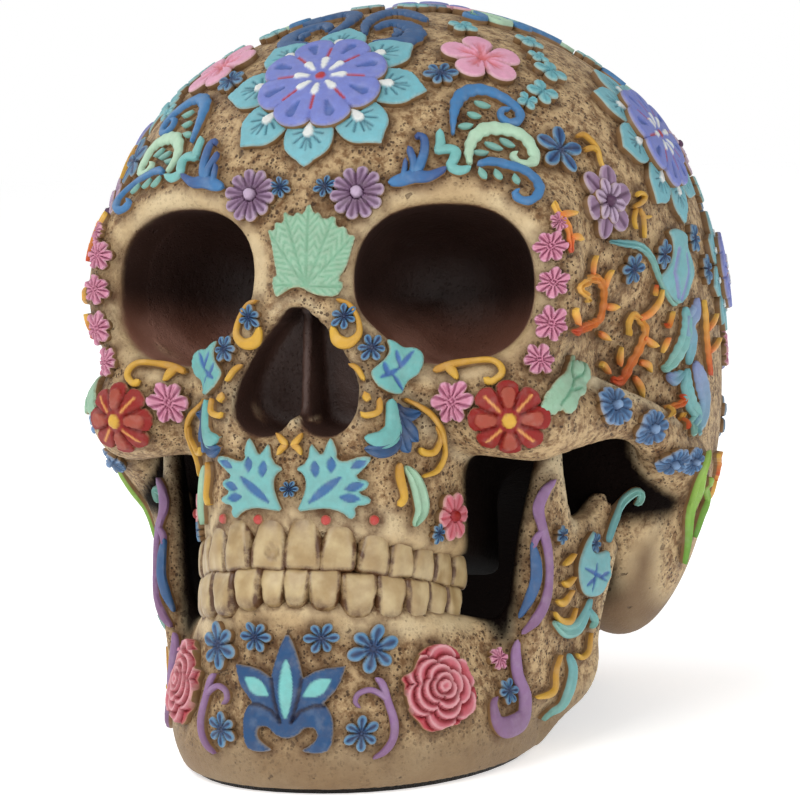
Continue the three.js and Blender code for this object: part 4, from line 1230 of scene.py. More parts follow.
relief_paint = satin_paint("relief_paint", 0.5, 0.14, 420.0)
leaves, disc = flower_leaves(), flower_disc()
FOREHEAD_AT = (0, -25, 132)
SIDE_AT = (54, 20, 119)
REAR_AT = (60, 47, 90)
MIDDLE_SPOTS = [(90, 12, 0, 1), (90, 77, 0, 0.8)]
SIDE_SPOTS = [(36, -14, 10, 0.62)]
middle_flowers = [(FOREHEAD_AT, 0, 1)] + around(MIDDLE_SPOTS)
side_flowers = [(SIDE_AT, 0, 0.9), (REAR_AT, 10, 0.62)] + around(SIDE_SPOTS)
lay("forehead_flower_leaves_set", leaves, middle_flowers, ["forehead_flower_leaves"], False)
lay("forehead_flower_disc", disc, middle_flowers, ["forehead_flower_petals"], False)
lay("side_flower_leaves_set", leaves, side_flowers,
    ["side_flower_leaves_right", "side_flower_leaves_left"])
lay("side_flower_disc", disc, side_flowers,
    ["side_flower_petals_right", "side_flower_petals_left"])

# The leaf on the bridge of the nose: a broad mint leaf with saw teeth, cast with the bone and painted.
# Its main veins fan out from its foot, with fine side veins pressed in beside them.
# Outlines are listed in picture points, and each is carried along its line of sight to the bone.
BRIDGE_LEAF = [
    [311, 203], [316, 216], [320, 213], [325, 222], [337, 216], [337, 229], [347, 227], [348, 236],
    [356, 235], [352, 248], [349, 259], [346, 267], [338, 279], [345, 283], [337, 297], [320, 296],
    [310, 293], [302, 288], [293, 289], [286, 293], [277, 298], [274, 289], [273, 279], [279, 276],
    [276, 264], [274, 250], [271, 237], [268, 230], [277, 232], [276, 223], [286, 225], [285, 211],
    [294, 219], [300, 213], [305, 217],
]
BRIDGE_FOOT = [307, 288]
BRIDGE_TIPS = [[311, 205], [286, 213], [335, 218], [270, 232], [354, 236], [275, 286], [342, 286]]
MINT = tone(156, 198, 168)
MINT_VEIN = tone(110, 172, 138)
SIDE_VEIN_STEP = 1.5
SIDE_VEIN_LEAN = 1.2


def both_sides(node):
    return [node + "_right", node + "_left"]


bone_shape = BVHTree.FromPolygons(outer_points.tolist(), outer_facets.tolist())


def ray_through(px, py):
    way = ahead + (px - PICTURE / 2) / FOCAL * view_right - (py - PICTURE / 2) / FOCAL * view_up
    return way / np.linalg.norm(way)


def cast(px, py):
    """The place on the bone that a picture point shows, or the nearest to its line of sight."""
    way = Vector(ray_through(px, py))
    hit = bone_shape.ray_cast(Vector(eye), way)[0]
    if hit is None:
        hit = bone_shape.find_nearest(Vector(eye) + DISTANCE * way)[0]
    return np.array(hit)


def traced(outline, centred=False):
    """The middle of an outline on the bone, and a function that draws picture points flat round it."""
    middle = cast(*np.mean(outline, 0))
    at, normal = seat(middle * [0, 1, 1] if centred else middle)
    right, up = upright_frame(normal)

    def flat(points):
        ways = np.array([ray_through(*point) for point in points])
        reach = ((at - eye) @ normal) / (ways @ normal)
        off = eye + reach[:, None] * ways - at
        return np.stack([off @ right, off @ up], 1)

    return at, flat


def bridge_leaf():
    at, flat = traced(BRIDGE_LEAF)
    foot, tips = flat([BRIDGE_FOOT])[0], flat(BRIDGE_TIPS)

    def paint(p, inset):
        runs = [gap_to_line(p, foot, tip) for tip in tips]
        gaps = np.array([gap for gap, _ in runs])
        along = np.array([t * np.linalg.norm(tip - foot) for (_, t), tip in zip(runs, tips)])
        along = np.take_along_axis(along, gaps.argmin(0)[None], 0)[0]
        gap = gaps.min(0)
        rib = ramp(gap, 0.4, 0.1)
        share = np.abs((along - SIDE_VEIN_LEAN * gap) / SIDE_VEIN_STEP % 1 - 0.5)
        comb = ramp(share, 0.32, 0.1) * ramp(gap, 0.25, 0.6)
        colours = plain(MINT, p)
        colours = cover(colours, 0.6 * comb, MINT_VEIN)
        return cover(colours, 0.7 * rib, MINT_VEIN), 0.2 * comb + 0.3 * rib

    return at, plate(flat(BRIDGE_LEAF), paint, step=0.36, rounds=1, edge=0.3)


leaf_at, leaf_shape = bridge_leaf()
lay("bridge_leaf", leaf_shape, [(leaf_at, 0, 1)], ["nose_bridge_leaf"], False)

# The rosettes: round flowers with narrow petals, cast with the bone.
# They are mauve over the brows and at the temples, and pink round the eyes.
# Grooves part the petals, dark paint with painted shade, the petals are pale on their rubbed edges with a
# painted highlight, and a domed button covers most middles.
MAUVE = tone(152, 122, 154)
MAUVE_GROOVE = tone(84, 50, 86)
MAUVE_PALE = tone(196, 172, 200)
ROSETTE_PINK = tone(222, 146, 172)
ROSETTE_GROOVE = tone(160, 80, 114)
ROSETTE_PALE = tone(232, 168, 198)
SMALL_PINK_AT = [(550, 247, 0.78), (553, 283, 0.74), (550, 323, 0.82), (537, 360, 0.8), (556, 224, 0.45)]
CHEEK_PINK_AT = [(454, 401, 1.05), (495, 660, 0.6)]
CHEEK_PINK_SPOTS = [
    (38, 24, 0, 1), (66, 24, 0, 1), (74, 46, 0, 1), (48, -2, 9, 1), (22, -14, 0, 1), (82, -14, 0, 0.8),
]
BROW_AT = (358, 194)
BROW_SPOTS = [(70, 34, 0, 1), (58, -12, 9, 1)]
TEMPLE_AT = (603, 202)
TEMPLE_SPOTS = [(24, 27, 0, 1), (68, -26, 8, 1)]


def seen_places(spots, turn_step):
    return [(cast(px, py), turn_step * number, size) for number, (px, py, size) in enumerate(spots)]


def rosette(petals, reach, waist, blunt, paint, turn_by=0, uneven=0.0, **style):
    """A flower in one ring: its petals reach out from its waist, rounder where blunt is small."""
    angle = np.linspace(0, 2 * np.pi, 24 * petals, endpoint=False)
    lobe = np.abs(np.cos(petals * (angle - np.radians(turn_by)) / 2)) ** blunt
    lobe = lobe * (1 + uneven * np.sin(2 * angle + 1) + 0.5 * uneven * np.sin(3 * angle))
    outline = (waist + (reach - waist) * lobe)[:, None] * np.stack([np.cos(angle), np.sin(angle)], 1)
    return plate(outline, paint, rounds=0, **style)


def petal_share(p, petals, turn_by=0):
    """How far round its petal each place is, from -0.5 to 0.5."""
    angle = np.arctan2(p[:, 1], p[:, 0]) - np.radians(turn_by)
    return (angle / (2 * np.pi) * petals + 0.5) % 1 - 0.5


def petal_paint(petals, ground, groove, pale, button=None, radius=0.0, crease=0.35, deep=0.5, turn_by=0):
    """Paint for petals: dark paint with painted shade between them and in their creases, pale on their edges
    with a painted highlight, and a button.
    """

    def paint(p, inset):
        out = np.linalg.norm(p, axis=1)
        share = petal_share(p, petals, turn_by)
        arc = 2 * np.pi / petals * out
        thin = np.minimum(1, 0.7 * arc)
        between = ramp((0.5 - np.abs(share)) * arc, 0.42 * thin, 0.1 * thin)
        fold = ramp(np.abs(share) * arc, (crease + 0.1) * thin, (crease - 0.25) * thin)
        fold = fold * ramp(inset, 0.2, 0.7)
        rim = ramp(inset, 0.75, 0.25)
        colours = plain(ground, p)
        # The pale rim is rubbed paint with a painted highlight; the dark folds and grooves are paint with
        # painted shade.
        colours = cover(colours, 0.75 * rim, pale)
        colours = cover(colours, 0.8 * fold, groove)
        colours = cover(colours, 0.95 * between, groove)
        dents = np.maximum(deep * between, 0.55 * deep * fold) + 0.3 * deep * ramp(out, 2.5 * radius + 1, 0)
        if button is not None:
            ring = ramp(np.abs(out - radius), 0.4, 0.1)
            cap = ramp(out, radius + 0.1, radius - 0.1)
            dome = np.sqrt(np.clip(1 - (out / (radius + 0.1)) ** 2, 0, 1))
            colours = cover(cover(colours, ring, groove), cap, button)
            dents = dents * (1 - cap) + 0.4 * ring * (1 - cap) - 0.9 * dome * cap
        return colours, dents

    return paint


brow_paint = petal_paint(10, MAUVE, MAUVE_GROOVE, MAUVE_PALE, MAUVE_PALE, 1.1)
brow = rosette(10, 5.3, 4.0, 0.5, brow_paint, step=0.3)
brow_places = [(cast(*BROW_AT), 8, 1)] + around(BROW_SPOTS)
lay("brow_rosettes", brow, brow_places, both_sides("brow_rosette"))
outer_paint = petal_paint(6, MAUVE, MAUVE_GROOVE, MAUVE_PALE, crease=0.5)
inner_paint = petal_paint(6, MAUVE_PALE, MAUVE_GROOVE, MAUVE_PALE, MAUVE_GROOVE, 0.9, turn_by=30)
temple = together(
    rosette(6, 7.4, 4.2, 0.7, outer_paint, step=0.36),
    rosette(6, 4.4, 2.4, 0.8, inner_paint, turn_by=30, base=RELIEF - 0.4, relief=1.1, step=0.32),
)
temple_places = [(cast(*TEMPLE_AT), 12, 1)] + around(TEMPLE_SPOTS)
lay("temple_rosettes", temple, temple_places, both_sides("temple_rosette"))
pink_lines = petal_paint(12, ROSETTE_PINK, ROSETTE_GROOVE, ROSETTE_PALE, crease=0.1)
small_pink = rosette(6, 4.1, 2.7, 0.8, pink_lines, uneven=0.22, step=0.26)
lay("orbit_rosettes", small_pink, seen_places(SMALL_PINK_AT, 20), both_sides("orbit_rosette"))
cheek_pinks = seen_places(CHEEK_PINK_AT, 0) + around(CHEEK_PINK_SPOTS)
lay("cheek_rosettes", small_pink, cheek_pinks, both_sides("cheek_rosette"))

# The pink flowers: five broad petals with a coral throat, high on the forehead and again behind it.
# They are cast with the bone, and painted coral lines run out along the petals.
PINK = tone(240, 172, 200)
PINK_PALE = tone(246, 194, 214)
CORAL = tone(216, 98, 96)
PINK_AT = [(481, 62, 1)]
PINK_SPOTS = [(54, 36, 0, 0.95), (56, -32, 40, 0.9), (62, 62, 0, 0.8), (-8, 78, 0, 0.8)]


def pink_paint(p, inset):
    out = np.linalg.norm(p, axis=1)
    share = petal_share(p, 5)
    arc = 2 * np.pi / 5 * out
    throat = ramp(np.abs(share) * arc, 0.75, 0.15) * ramp(out, 6.2, 3.0)
    line = ramp(np.abs(np.abs(share) * arc - 0.22 * out), 0.3, 0.08) * ramp(out, 5.2, 4.2)
    between = ramp((0.5 - np.abs(share)) * arc, 0.5, 0.1)
    colours = plain(PINK, p)
    colours = cover(colours, 0.6 * ramp(inset, 0.6, 0.2), PINK_PALE)
    colours = cover(colours, 0.75 * np.maximum(throat, 0.7 * line), CORAL)
    colours = cover(colours, 0.6 * between * ramp(out, 6, 3), CORAL)
    return colours, 0.45 * throat + 0.3 * line + 0.5 * between


pink_flower = rosette(5, 8.3, 3.4, 0.42, pink_paint, step=0.36)
pink_places = seen_places(PINK_AT, 0) + around(PINK_SPOTS)
lay("pink_flowers", pink_flower, pink_places, both_sides("pink_flower"))

# The red cheek flowers: eight rounded petals, cast in relief and painted.
# Four have a thin yellow line and four a paler raised drop, round a yellow button.
CHEEK_RED = tone(146, 4, 4)
CHEEK_PALE = tone(170, 72, 54)
CHEEK_LINE = tone(232, 160, 84)
BUTTON_YELLOW = tone(228, 178, 64)
CHEEK_AT = [(509, 419, 1)]
CHEEK_SPOTS = [(46, 11, 10, 0.9), (76, -44, 0, 0.8)]
REAR_RED_SPOTS = [(90, 46, 0, 1)]


def cheek_paint(p, inset):
    out = np.linalg.norm(p, axis=1)
    colours = plain(CHEEK_RED, p)
    dents = np.zeros(len(p))
    for way in range(0, 360, 90):
        q = spun(p, -way)
        drop = drop_on(q, [3.0, 0], [5.0, 0], 0.95, 1.35)
        colours, dents = cover(colours, drop, CHEEK_PALE), dents - 0.45 * drop
        q = spun(p, -way - 45)
        line = line_on(q, [2.2, 0], [6.3, 0], 0.42)
        colours, dents = cover(colours, line, CHEEK_LINE), dents - 0.1 * line
    share = petal_share(p, 8, 22.5)
    between = ramp(np.abs(share) * 2 * np.pi / 8 * out, 0.45, 0.1) * ramp(out, 1.4, 2.4)
    # Between the petals the red is darkened: painted shade in the grooves.
    colours = cover(colours, 0.6 * between, 0.5 * CHEEK_RED)
    dents = dents + 0.45 * between
    cap = ramp(out, 1.3, 1.05)
    dome = np.sqrt(np.clip(1 - (out / 1.3) ** 2, 0, 1))
    return cover(colours, cap, BUTTON_YELLOW), dents * (1 - cap) - 0.8 * dome * cap


cheek_flower = rosette(8, 8.4, 6.3, 0.5, cheek_paint, step=0.34)
cheek_places = seen_places(CHEEK_AT, 0) + around(CHEEK_SPOTS)
lay("cheek_flowers", cheek_flower, cheek_places, both_sides("cheek_flower"))
lay("rear_red_flower", cheek_flower, around(REAR_RED_SPOTS), both=False)

# The blue stars: small flowers of five or six narrow petals on a dark blue ground, with light rubbed edges
# that carry a painted highlight.
# They fill the gaps between the larger ornaments, and wider ones with eight petals sit on the cheek arches.
STAR_BLUE = tone(42, 88, 138)
STAR_GROOVE = tone(20, 42, 78)
STAR_PALE = tone(98, 158, 196)
ARCH_BLUE = tone(78, 128, 174)
ARCH_GROOVE = tone(36, 68, 110)
ARCH_PALE = tone(130, 166, 208)
FOREHEAD_STARS = [(440, 78, 0.95), (326, 188, 0.62), (344, 317, 0.7), (371, 349, 0.75), (434, 533, 0.5)]
TEMPLE_STARS = [(629, 268, 0.95), (659, 254, 0.85), (689, 239, 0.85), (702, 270, 0.85)]
CHIN_STARS = [(322, 638, 0.9), (372, 649, 1.35), (361, 733, 0.95)]
SIDE_STARS = [(504, 692, 0.8), (557, 535, 0.55), (590, 543, 0.6)]
REAR_STAR_SPOTS = [
    (36, 36, 0, 1), (60, 22, 20, 1), (80, 34, 9, 0.9), (28, 14, 0, 0.9), (42, 26, 30, 0.8), (58, 2, 0, 1),
    (70, -10, 9, 0.9), (24, -4, 0, 0.9), (47, -22, 15, 1), (80, -34, 0, 0.9), (60, -44, 20, 0.9),
    (78, 56, 0, 0.9), (-50, 80, 0, 1), (20, 76, 9, 1),
]
LONG_STAR_AT = [(557, 152, 1)]
LONG_STAR_SPOTS = [(42, 60, 20, 0.9), (64, 10, 0, 0.9), (26, -28, 0, 0.9)]
ARCH_STRETCH = np.array([1.4, 1.0])
ARCH_AT = [(612, 407, 1), (649, 427, 0.95), (672, 460, 0.8), (690, 460, 0.7)]
star_paint = petal_paint(6, STAR_BLUE, STAR_GROOVE, STAR_PALE, crease=0.3)
star = rosette(6, 3.5, 1.4, 0.62, star_paint, uneven=0.14, step=0.24)
long_star = rosette(5, 5.2, 1.3, 0.8, petal_paint(5, STAR_BLUE, STAR_GROOVE, STAR_PALE), step=0.3)
lay("forehead_stars", star, seen_places(FOREHEAD_STARS, 17))
lay("temple_stars", star, seen_places(TEMPLE_STARS, 25) + around(REAR_STAR_SPOTS))
long_places = seen_places(LONG_STAR_AT, 0) + around(LONG_STAR_SPOTS)
lay("long_stars", long_star, long_places)
lay("chin_stars", star, seen_places(CHIN_STARS, 13), both_sides("chin_star"))
lay("side_stars", star, seen_places(SIDE_STARS, 21))
arch_paint = petal_paint(8, ARCH_BLUE, ARCH_GROOVE, ARCH_PALE, ARCH_PALE, 0.7)
arch = rosette(8, 3.9, 3.0, 0.5, arch_paint, step=0.28)
arch["flat"] = arch["flat"] * ARCH_STRETCH
lay("arch_rosettes", arch, seen_places(ARCH_AT, 0), both_sides("arch_rosette"))

# The small teal flowers: four plain petals each, scattered behind the forehead scrolls and over the crown.
# They are cast thick, so that their bone-coloured sides show.
SMALL_TEAL = tone(112, 186, 196)
SMALL_TEAL_GROOVE = tone(60, 130, 146)
SMALL_TEAL_PALE = tone(146, 206, 210)
TEAL_FLOWERS = [
    (462, 32, 0.95), (527, 47, 0.95), (548, 76, 1.1), (540, 96, 1.05), (525, 105, 0.7), (536, 62, 0.7),
]
REAR_TEAL_SPOTS = [
    (30, 40, 0, 1), (50, 48, 20, 1), (66, 46, 0, 0.9), (34, 4, 9, 1), (66, 2, 0, 1), (50, -12, 30, 1),
    (74, -20, 0, 1), (40, -32, 0, 1), (18, 18, 0, 0.9), (84, 64, 0, 0.8), (20, 52, 0, 1), (-70, 76, 0, 1),
    (0, 68, 9, 1),
]
teal_paint = petal_paint(4, SMALL_TEAL, SMALL_TEAL_GROOVE, SMALL_TEAL_PALE, crease=0.15, deep=0.3)
small_teal = rosette(4, 3.3, 1.3, 0.7, teal_paint, step=0.3)
lay("teal_flowers", small_teal, seen_places(TEAL_FLOWERS, 23) + around(REAR_TEAL_SPOTS))

# The scrolls: raised strands that curl over the forehead, with wavy edges, and three drops inside each curl.
# They are cast with the bone, painted blue, mint or teal on top, and keep bone-coloured sides.
# Each is a path of picture points with its width in millimetres, swept by one tree along the bone.
SCROLL_BLUE = tone(66, 130, 184)
SCROLL_MINT = tone(188, 224, 194)
SPRIG_TEAL = tone(126, 196, 192)
DROP_TEAL = tone(128, 184, 172)
CROWN_BLUE = tone(54, 98, 146)
DARK_BLUE = tone(50, 82, 142)
WAVE_LENGTH = 2.4
STRAND_STEP = 0.0005
LEAST_WIDTH = 0.3
DROP_SIZES = [(0, 0.25), (0.2, 0.75), (0.5, 1.0), (0.8, 0.75), (1, 0.25)]
DROP_WIDTH = 1.5
UPPER_SCROLL = [
    [452, 138, 0.6], [453, 118, 1.6], [457, 103, 2.6], [466, 95, 2.9], [480, 93, 2.7], [496, 98, 2.3],
    [510, 107, 2.1], [518, 116, 1.9], [516, 124, 1.7], [506, 125, 1.6], [499, 119, 1.5], [501, 113, 1.2],
    [508, 113, 0.9],
]
MIDDLE_SCROLL = [
    [469, 168, 1], [468, 155, 1.8], [472, 141, 2.4], [483, 132, 2.8], [496, 131, 2.8], [512, 134, 2.6],
    [524, 141, 2.4], [531, 153, 2.4], [533, 162, 2.2], [525, 167, 1.8], [516, 165, 1.6], [511, 158, 1.4],
    [515, 155, 1],
]
LOWER_SCROLL = [
    [476, 168, 1], [490, 165, 2], [505, 168, 2.4], [521, 173, 2.4], [533, 182, 2.2], [538, 193, 2],
    [531, 202, 1.6], [521, 202, 1.4], [514, 196, 1.3], [518, 193, 0.9],
]
SCROLL_DROPS = [
    [[473, 105], [489, 110]], [[466, 116], [480, 120]], [[457, 129], [472, 128]], [[472, 155], [487, 156]],
    [[483, 145], [501, 152]], [[498, 141], [513, 149]], [[478, 171], [486, 181]], [[493, 173], [501, 182]],
    [[512, 178], [518, 187]],
]
SPRIGS = [
    [[439, 133, 1.6], [440, 147, 2], [437, 155, 2]],
    [[434, 155, 1.6], [447, 152, 2.2], [455, 155, 2.2], [453, 163, 2], [450, 169, 1.8], [459, 173, 1.8],
     [470, 171, 1]],
]
BRANCHES = [
    [[389, 185, 1.2], [400, 182, 2.4], [414, 178, 2.6], [429, 178, 2], [446, 171, 1]],
    [[415, 175, 2.2], [420, 167, 2], [424, 155, 1.8], [424, 142, 1.6], [418, 138, 1.3], [416, 142, 1]],
    [[413, 176, 1.6], [414, 165, 1.5], [410, 153, 1.4], [408, 150, 1]],
    [[403, 181, 1.2], [405, 171, 1.1], [406, 162, 0.8]],
]
CROWN_BANDS = [
    [[365, 40, 1.2], [367, 29, 2.2], [380, 20, 3.2], [398, 17, 3.6], [414, 20, 3], [427, 26, 1.2]],
    [[375, 34, 1.2], [390, 28, 2.8], [406, 30, 4], [415, 37, 4.4], [406, 45, 4.2], [389, 47, 3.4],
     [373, 48, 1.2]],
    [[392, 42, 0.8], [399, 38, 1.6], [394, 35, 1]],
]


def profile_of(crown):
    """Half widths and heights round a strand's section, and which of its points are painted."""
    side = [(1.0, -0.5, 0), (1.0, 0.4, 0), (0.98, 0.52, 1), (0.84, 0.84, 1), (0.5, 0.97, 1)]
    loop = [(-w, h, top) for w, h, top in side] + [(0.0, crown, 1)] + side[::-1]
    width, height, top = np.array(loop).T
    mesh = bpy.data.meshes.new("strand_profile")
    count = len(loop)
    edges = [(i, (i + 1) % count) for i in range(count)]
    mesh.from_pydata([(0, w, 0) for w in width], edges, [])
    give(mesh, "rise", height)
    give(mesh, "top", top)
    return linked("strand_profile", mesh)


def strand_tree():
    """Sweeps a section along lines on the bone."""
    tree, start = new_tree("strand_on_bone", {
        "Lines": "NodeSocketGeometry", "Section": "NodeSocketObject", **ON_BONE})
    target = shape_of(tree, start["Bone"])
    section = first(tree, "GeometryNodeMeshToCurve", {"Mesh": shape_of(tree, start["Section"])})
    line = first(tree, "GeometryNodeMeshToCurve", {"Mesh": start["Lines"]})
    inputs = {"Curve": line, "Length": STRAND_STEP}
    line = first(tree, "GeometryNodeResampleCurve", inputs, mode="LENGTH")
    spot, normal = bone_under(tree, target)
    line = first(tree, "GeometryNodeSetPosition", {"Geometry": line, "Position": spot})
    line = first(tree, "GeometryNodeSetCurveNormal", {"Curve": line, "Normal": normal}, mode="FREE")
    inputs = {
        "Curve": line, "Profile Curve": section,
        "Scale": named(tree, "half_width"), "Fill Caps": True,
    }
    swept = first(tree, "GeometryNodeCurveToMesh", inputs)
    height = times(tree, named(tree, "rise"), named(tree, "lift"))
    laid = raised(tree, swept, target, height)
    tint = mix(tree, named(tree, "top"), (*WALL, 1), named(tree, "paint", "FLOAT_COLOR"))
    inputs = {"Geometry": laid, "Name": "paint", "Value": tint}
    painted = put(tree, "GeometryNodeStoreNamedAttribute", inputs, data_type="FLOAT_COLOR", domain="POINT")
    finish_tree(tree, start, painted.outputs[0])
    return tree


strand_on_bone = strand_tree()
round_section = profile_of(1.0)
creased_section = profile_of(0.62)


def seen(paths):
    """Paths of picture points with widths, as places on the bone with widths."""
    return [np.array([[*cast(px, py), width] for px, py, width in path]) for path in paths]


def strand(path, inks, wave, thin):
    """A smooth strand along a path on the bone. Its colour goes from the first ink to the last."""
    fine = smooth_run(path, 10)
    run = run_along(fine[:, :3])
    share = (run / run[-1])[:, None]
    colours = inks[0] + share * (inks[-1] - inks[0])
    widths = np.maximum(thin * fine[:, 3], LEAST_WIDTH) * (1 + wave * np.sin(run * 2 * np.pi / WAVE_LENGTH))
    from_end = np.minimum(run, run[-1] - run) / (widths / 2)
    widths = widths * np.sqrt(np.clip(1 - (1 - np.minimum(from_end, 1)) ** 2, 0.06, 1))
    return fine[:, :3], widths, colours


def drop_path(ends, width):
    """The path of a drop between two picture points."""
    (ax, ay), (bx, by) = ends
    return [[ax + t * (bx - ax), ay + t * (by - ay), width * size] for t, size in DROP_SIZES]


def everywhere(paths, anchor, spots):
    """Paths where the picture has them, and carried as a group from an anchor to other places."""
    made = seen(paths)
    _, flat = traced([anchor])
    for place, turn_by, size in around(spots):
        at, normal = seat(place)
        right, up = upright_frame(normal)
        for path in paths:
            drawn = np.array(path, float)
            local = size * spun(flat(drawn[:, :2]), turn_by)
            made.append(np.column_stack([at + local[:, :1] * right + local[:, 1:] * up, size * drawn[:, 2]]))
    return made


def lay_strands(name, paths, inks, nodes=(), wave=0.0, thin=1.0, lift=RELIEF, section=round_section):
    """Lays strands along paths on the bone, on both sides, with waves in their widths."""
    lines, widths, colours = zip(*[strand(path, inks, wave, thin) for path in paths])
    points = np.vstack(lines)
    edges, start = [], 0
    for line in lines:
        edges += [(start + i, start + i + 1) for i in range(len(line) - 1)]
        start += len(line)
    mesh = bpy.data.meshes.new(name)
    mesh.from_pydata(metres(points).tolist(), edges, [])
    give(mesh, "half_width", np.concatenate(widths) / 2000)
    give(mesh, "lift", np.full(len(points), lift / 1000))
    give(mesh, "paint", np.vstack(colours), "FLOAT_COLOR")
    piece = linked(name, mesh)
    settings = {"Section": section, "Bone": whole_bone, "Both Sides": True, "Finish": relief_paint}
    run_tree(piece, strand_on_bone, settings, name)
    keep(piece, nodes)


SCROLL_ANCHOR = (495, 148)
SCROLL_SPOTS = [
    (30, 62, 30, 1), (68, 60, -60, 0.8), (62, -2, 150, 0.8), (20, 40, -20, 0.7), (70, -46, 60, 0.8),
    (-24, 68, -40, 0.7),
]
blue_paths = everywhere([UPPER_SCROLL, LOWER_SCROLL], SCROLL_ANCHOR, SCROLL_SPOTS)
mint_paths = everywhere([MIDDLE_SCROLL], SCROLL_ANCHOR, SCROLL_SPOTS)
drop_paths = everywhere([drop_path(ends, DROP_WIDTH) for ends in SCROLL_DROPS], SCROLL_ANCHOR, SCROLL_SPOTS)
lay_strands("forehead_blue_scrolls", blue_paths, [SCROLL_BLUE], both_sides("forehead_scroll"),
            wave=0.1)
lay_strands("forehead_mint_scrolls", mint_paths, [SCROLL_MINT], wave=0.12)
lay_strands("scroll_drops", drop_paths, [DROP_TEAL], lift=1.3)
lay_strands("forehead_sprigs", seen(SPRIGS), [SPRIG_TEAL])
lay_strands("forehead_branches", seen(BRANCHES), [SCROLL_BLUE, DARK_BLUE])
lay_strands("crown_bands", seen(CROWN_BANDS), [CROWN_BLUE], wave=0.12)

# The yellow curls: thin strands at the temples, under the eyes, round the nose, by the mouth and on the jaw.
# They are cast with the bone and painted. Most start as a point, swell a little and end in a small curl.
YELLOW = tone(226, 178, 66)
YELLOW_DARK = tone(196, 142, 54)
THINNER = 0.82
TEMPLE_CURLS = [
    [[573, 139, 0.8], [580, 137, 1.4], [587, 142, 1.5], [594, 151, 1.3], [597, 163, 1.1], [600, 170, 0.7]],
    [[581, 152, 1.4], [590, 150, 1.3], [594, 154, 0.8]],
    [[629, 208, 1], [638, 203, 1.3], [641, 197, 1.3], [636, 194, 1.2], [632, 197, 1]],
    [[632, 209, 1.2], [630, 220, 1.2], [632, 229, 0.7]],
    [[635, 209, 1], [640, 217, 1.1], [646, 217, 0.8]],
    [[638, 212, 1.2], [640, 225, 1.2], [640, 238, 0.7]],
]
EYE_CURLS = [
    [[433, 371, 1.6], [452, 366, 1.8], [473, 363, 1.3], [492, 362, 1.3], [501, 368, 1.6], [501, 376, 1.6],
     [492, 383, 1.7], [485, 380, 2]],
    [[442, 366, 0.8], [452, 371, 2.2], [459, 380, 1]],
]
NOSE_CURLS = [
    [[336, 300, 0.8], [348, 305, 1.2], [357, 319, 1.2], [359, 334, 1.6], [350, 343, 2.6], [339, 340, 2.8],
     [333, 326, 1.2]],
    [[352, 364, 1], [359, 370, 1.3], [365, 382, 1]],
    [[378, 399, 1.2], [377, 412, 1.4], [365, 416, 1.4], [361, 413, 1]],
    [[365, 394, 1.4], [367, 399, 2], [366, 403, 1.2]],
]
MOUTH_CURLS = [
    [[401, 399, 0.9], [417, 405, 1.4], [432, 414, 1.6], [443, 430, 1.6], [443, 452, 1.4], [434, 470, 1.3],
     [419, 477, 0.8]],
    [[436, 424, 1], [440, 437, 1.3], [432, 451, 1.5], [421, 452, 1.8], [417, 447, 1.4]],
    [[304, 433, 0.8], [298, 441, 1.6], [293, 445, 1.2]],
    [[293, 445, 1.2], [299, 448, 1.6], [303, 455, 0.8]],
    [[397, 462, 1.6], [398, 477, 2.2], [402, 497, 1.8], [396, 506, 2]],
]
RAMUS_CURLS = [
    [[557, 654, 1], [552, 671, 1.8], [550, 690, 2], [532, 696, 0.8]],
    [[571, 554, 1.2], [565, 561, 1.8], [559, 565, 0.8]],
    [[571, 577, 1], [564, 584, 1.8], [558, 582, 0.8]],
    [[569, 590, 1], [560, 602, 2], [552, 600, 0.8]],
    [[572, 607, 1], [567, 620, 1.8], [557, 620, 1.8], [550, 611, 0.8]],
    [[587, 632, 1], [585, 650, 1.6], [578, 657, 1.4], [572, 653, 0.8]],
]
curls = TEMPLE_CURLS + EYE_CURLS + NOSE_CURLS + MOUTH_CURLS + RAMUS_CURLS
lay_strands("yellow_curls", seen(curls), [YELLOW_DARK, YELLOW], thin=THINNER, lift=1.5)

# The temple flames: curled tongues of orange relief behind each eye, painted from yellow to red.
# Thin orange leaflets with yellow tips grow out of them. Three of the tongues come again further back.
ORANGE = tone(238, 128, 60)
FLAME_RED = tone(224, 84, 46)
FLAME_YELLOW = tone(240, 194, 84)
FLAMES = [
    [[551, 205, 1.2], [555, 214, 1.8], [563, 225, 1.8], [567, 239, 1.6], [568, 254, 1]],
    [[585, 300, 1.6], [580, 293, 1.4], [580, 284, 1.6], [586, 278, 2], [595, 279, 2.2], [600, 289, 2],
     [599, 307, 2], [594, 320, 2.2], [581, 327, 2.4], [568, 329, 1.6]],
    [[626, 334, 1.6], [625, 323, 1.6], [629, 314, 1.8], [636, 318, 1.8], [642, 329, 2.2], [638, 343, 2.4],
     [633, 354, 2.4], [627, 364, 2.6], [619, 379, 2.6], [608, 377, 1.5]],
]
LONE_FLAMES = [
    [[699, 300, 1], [701, 316, 2], [702, 336, 2], [704, 357, 2], [706, 375, 1]],
    [[651, 295, 1.4], [652, 284, 0.8]],
    [[669, 311, 1], [665, 325, 1.4], [661, 323, 0.8]],
    [[665, 418, 1], [674, 405, 1.8], [681, 398, 1.8], [676, 395, 1]],
    [[681, 414, 1.6], [683, 430, 1]],
]
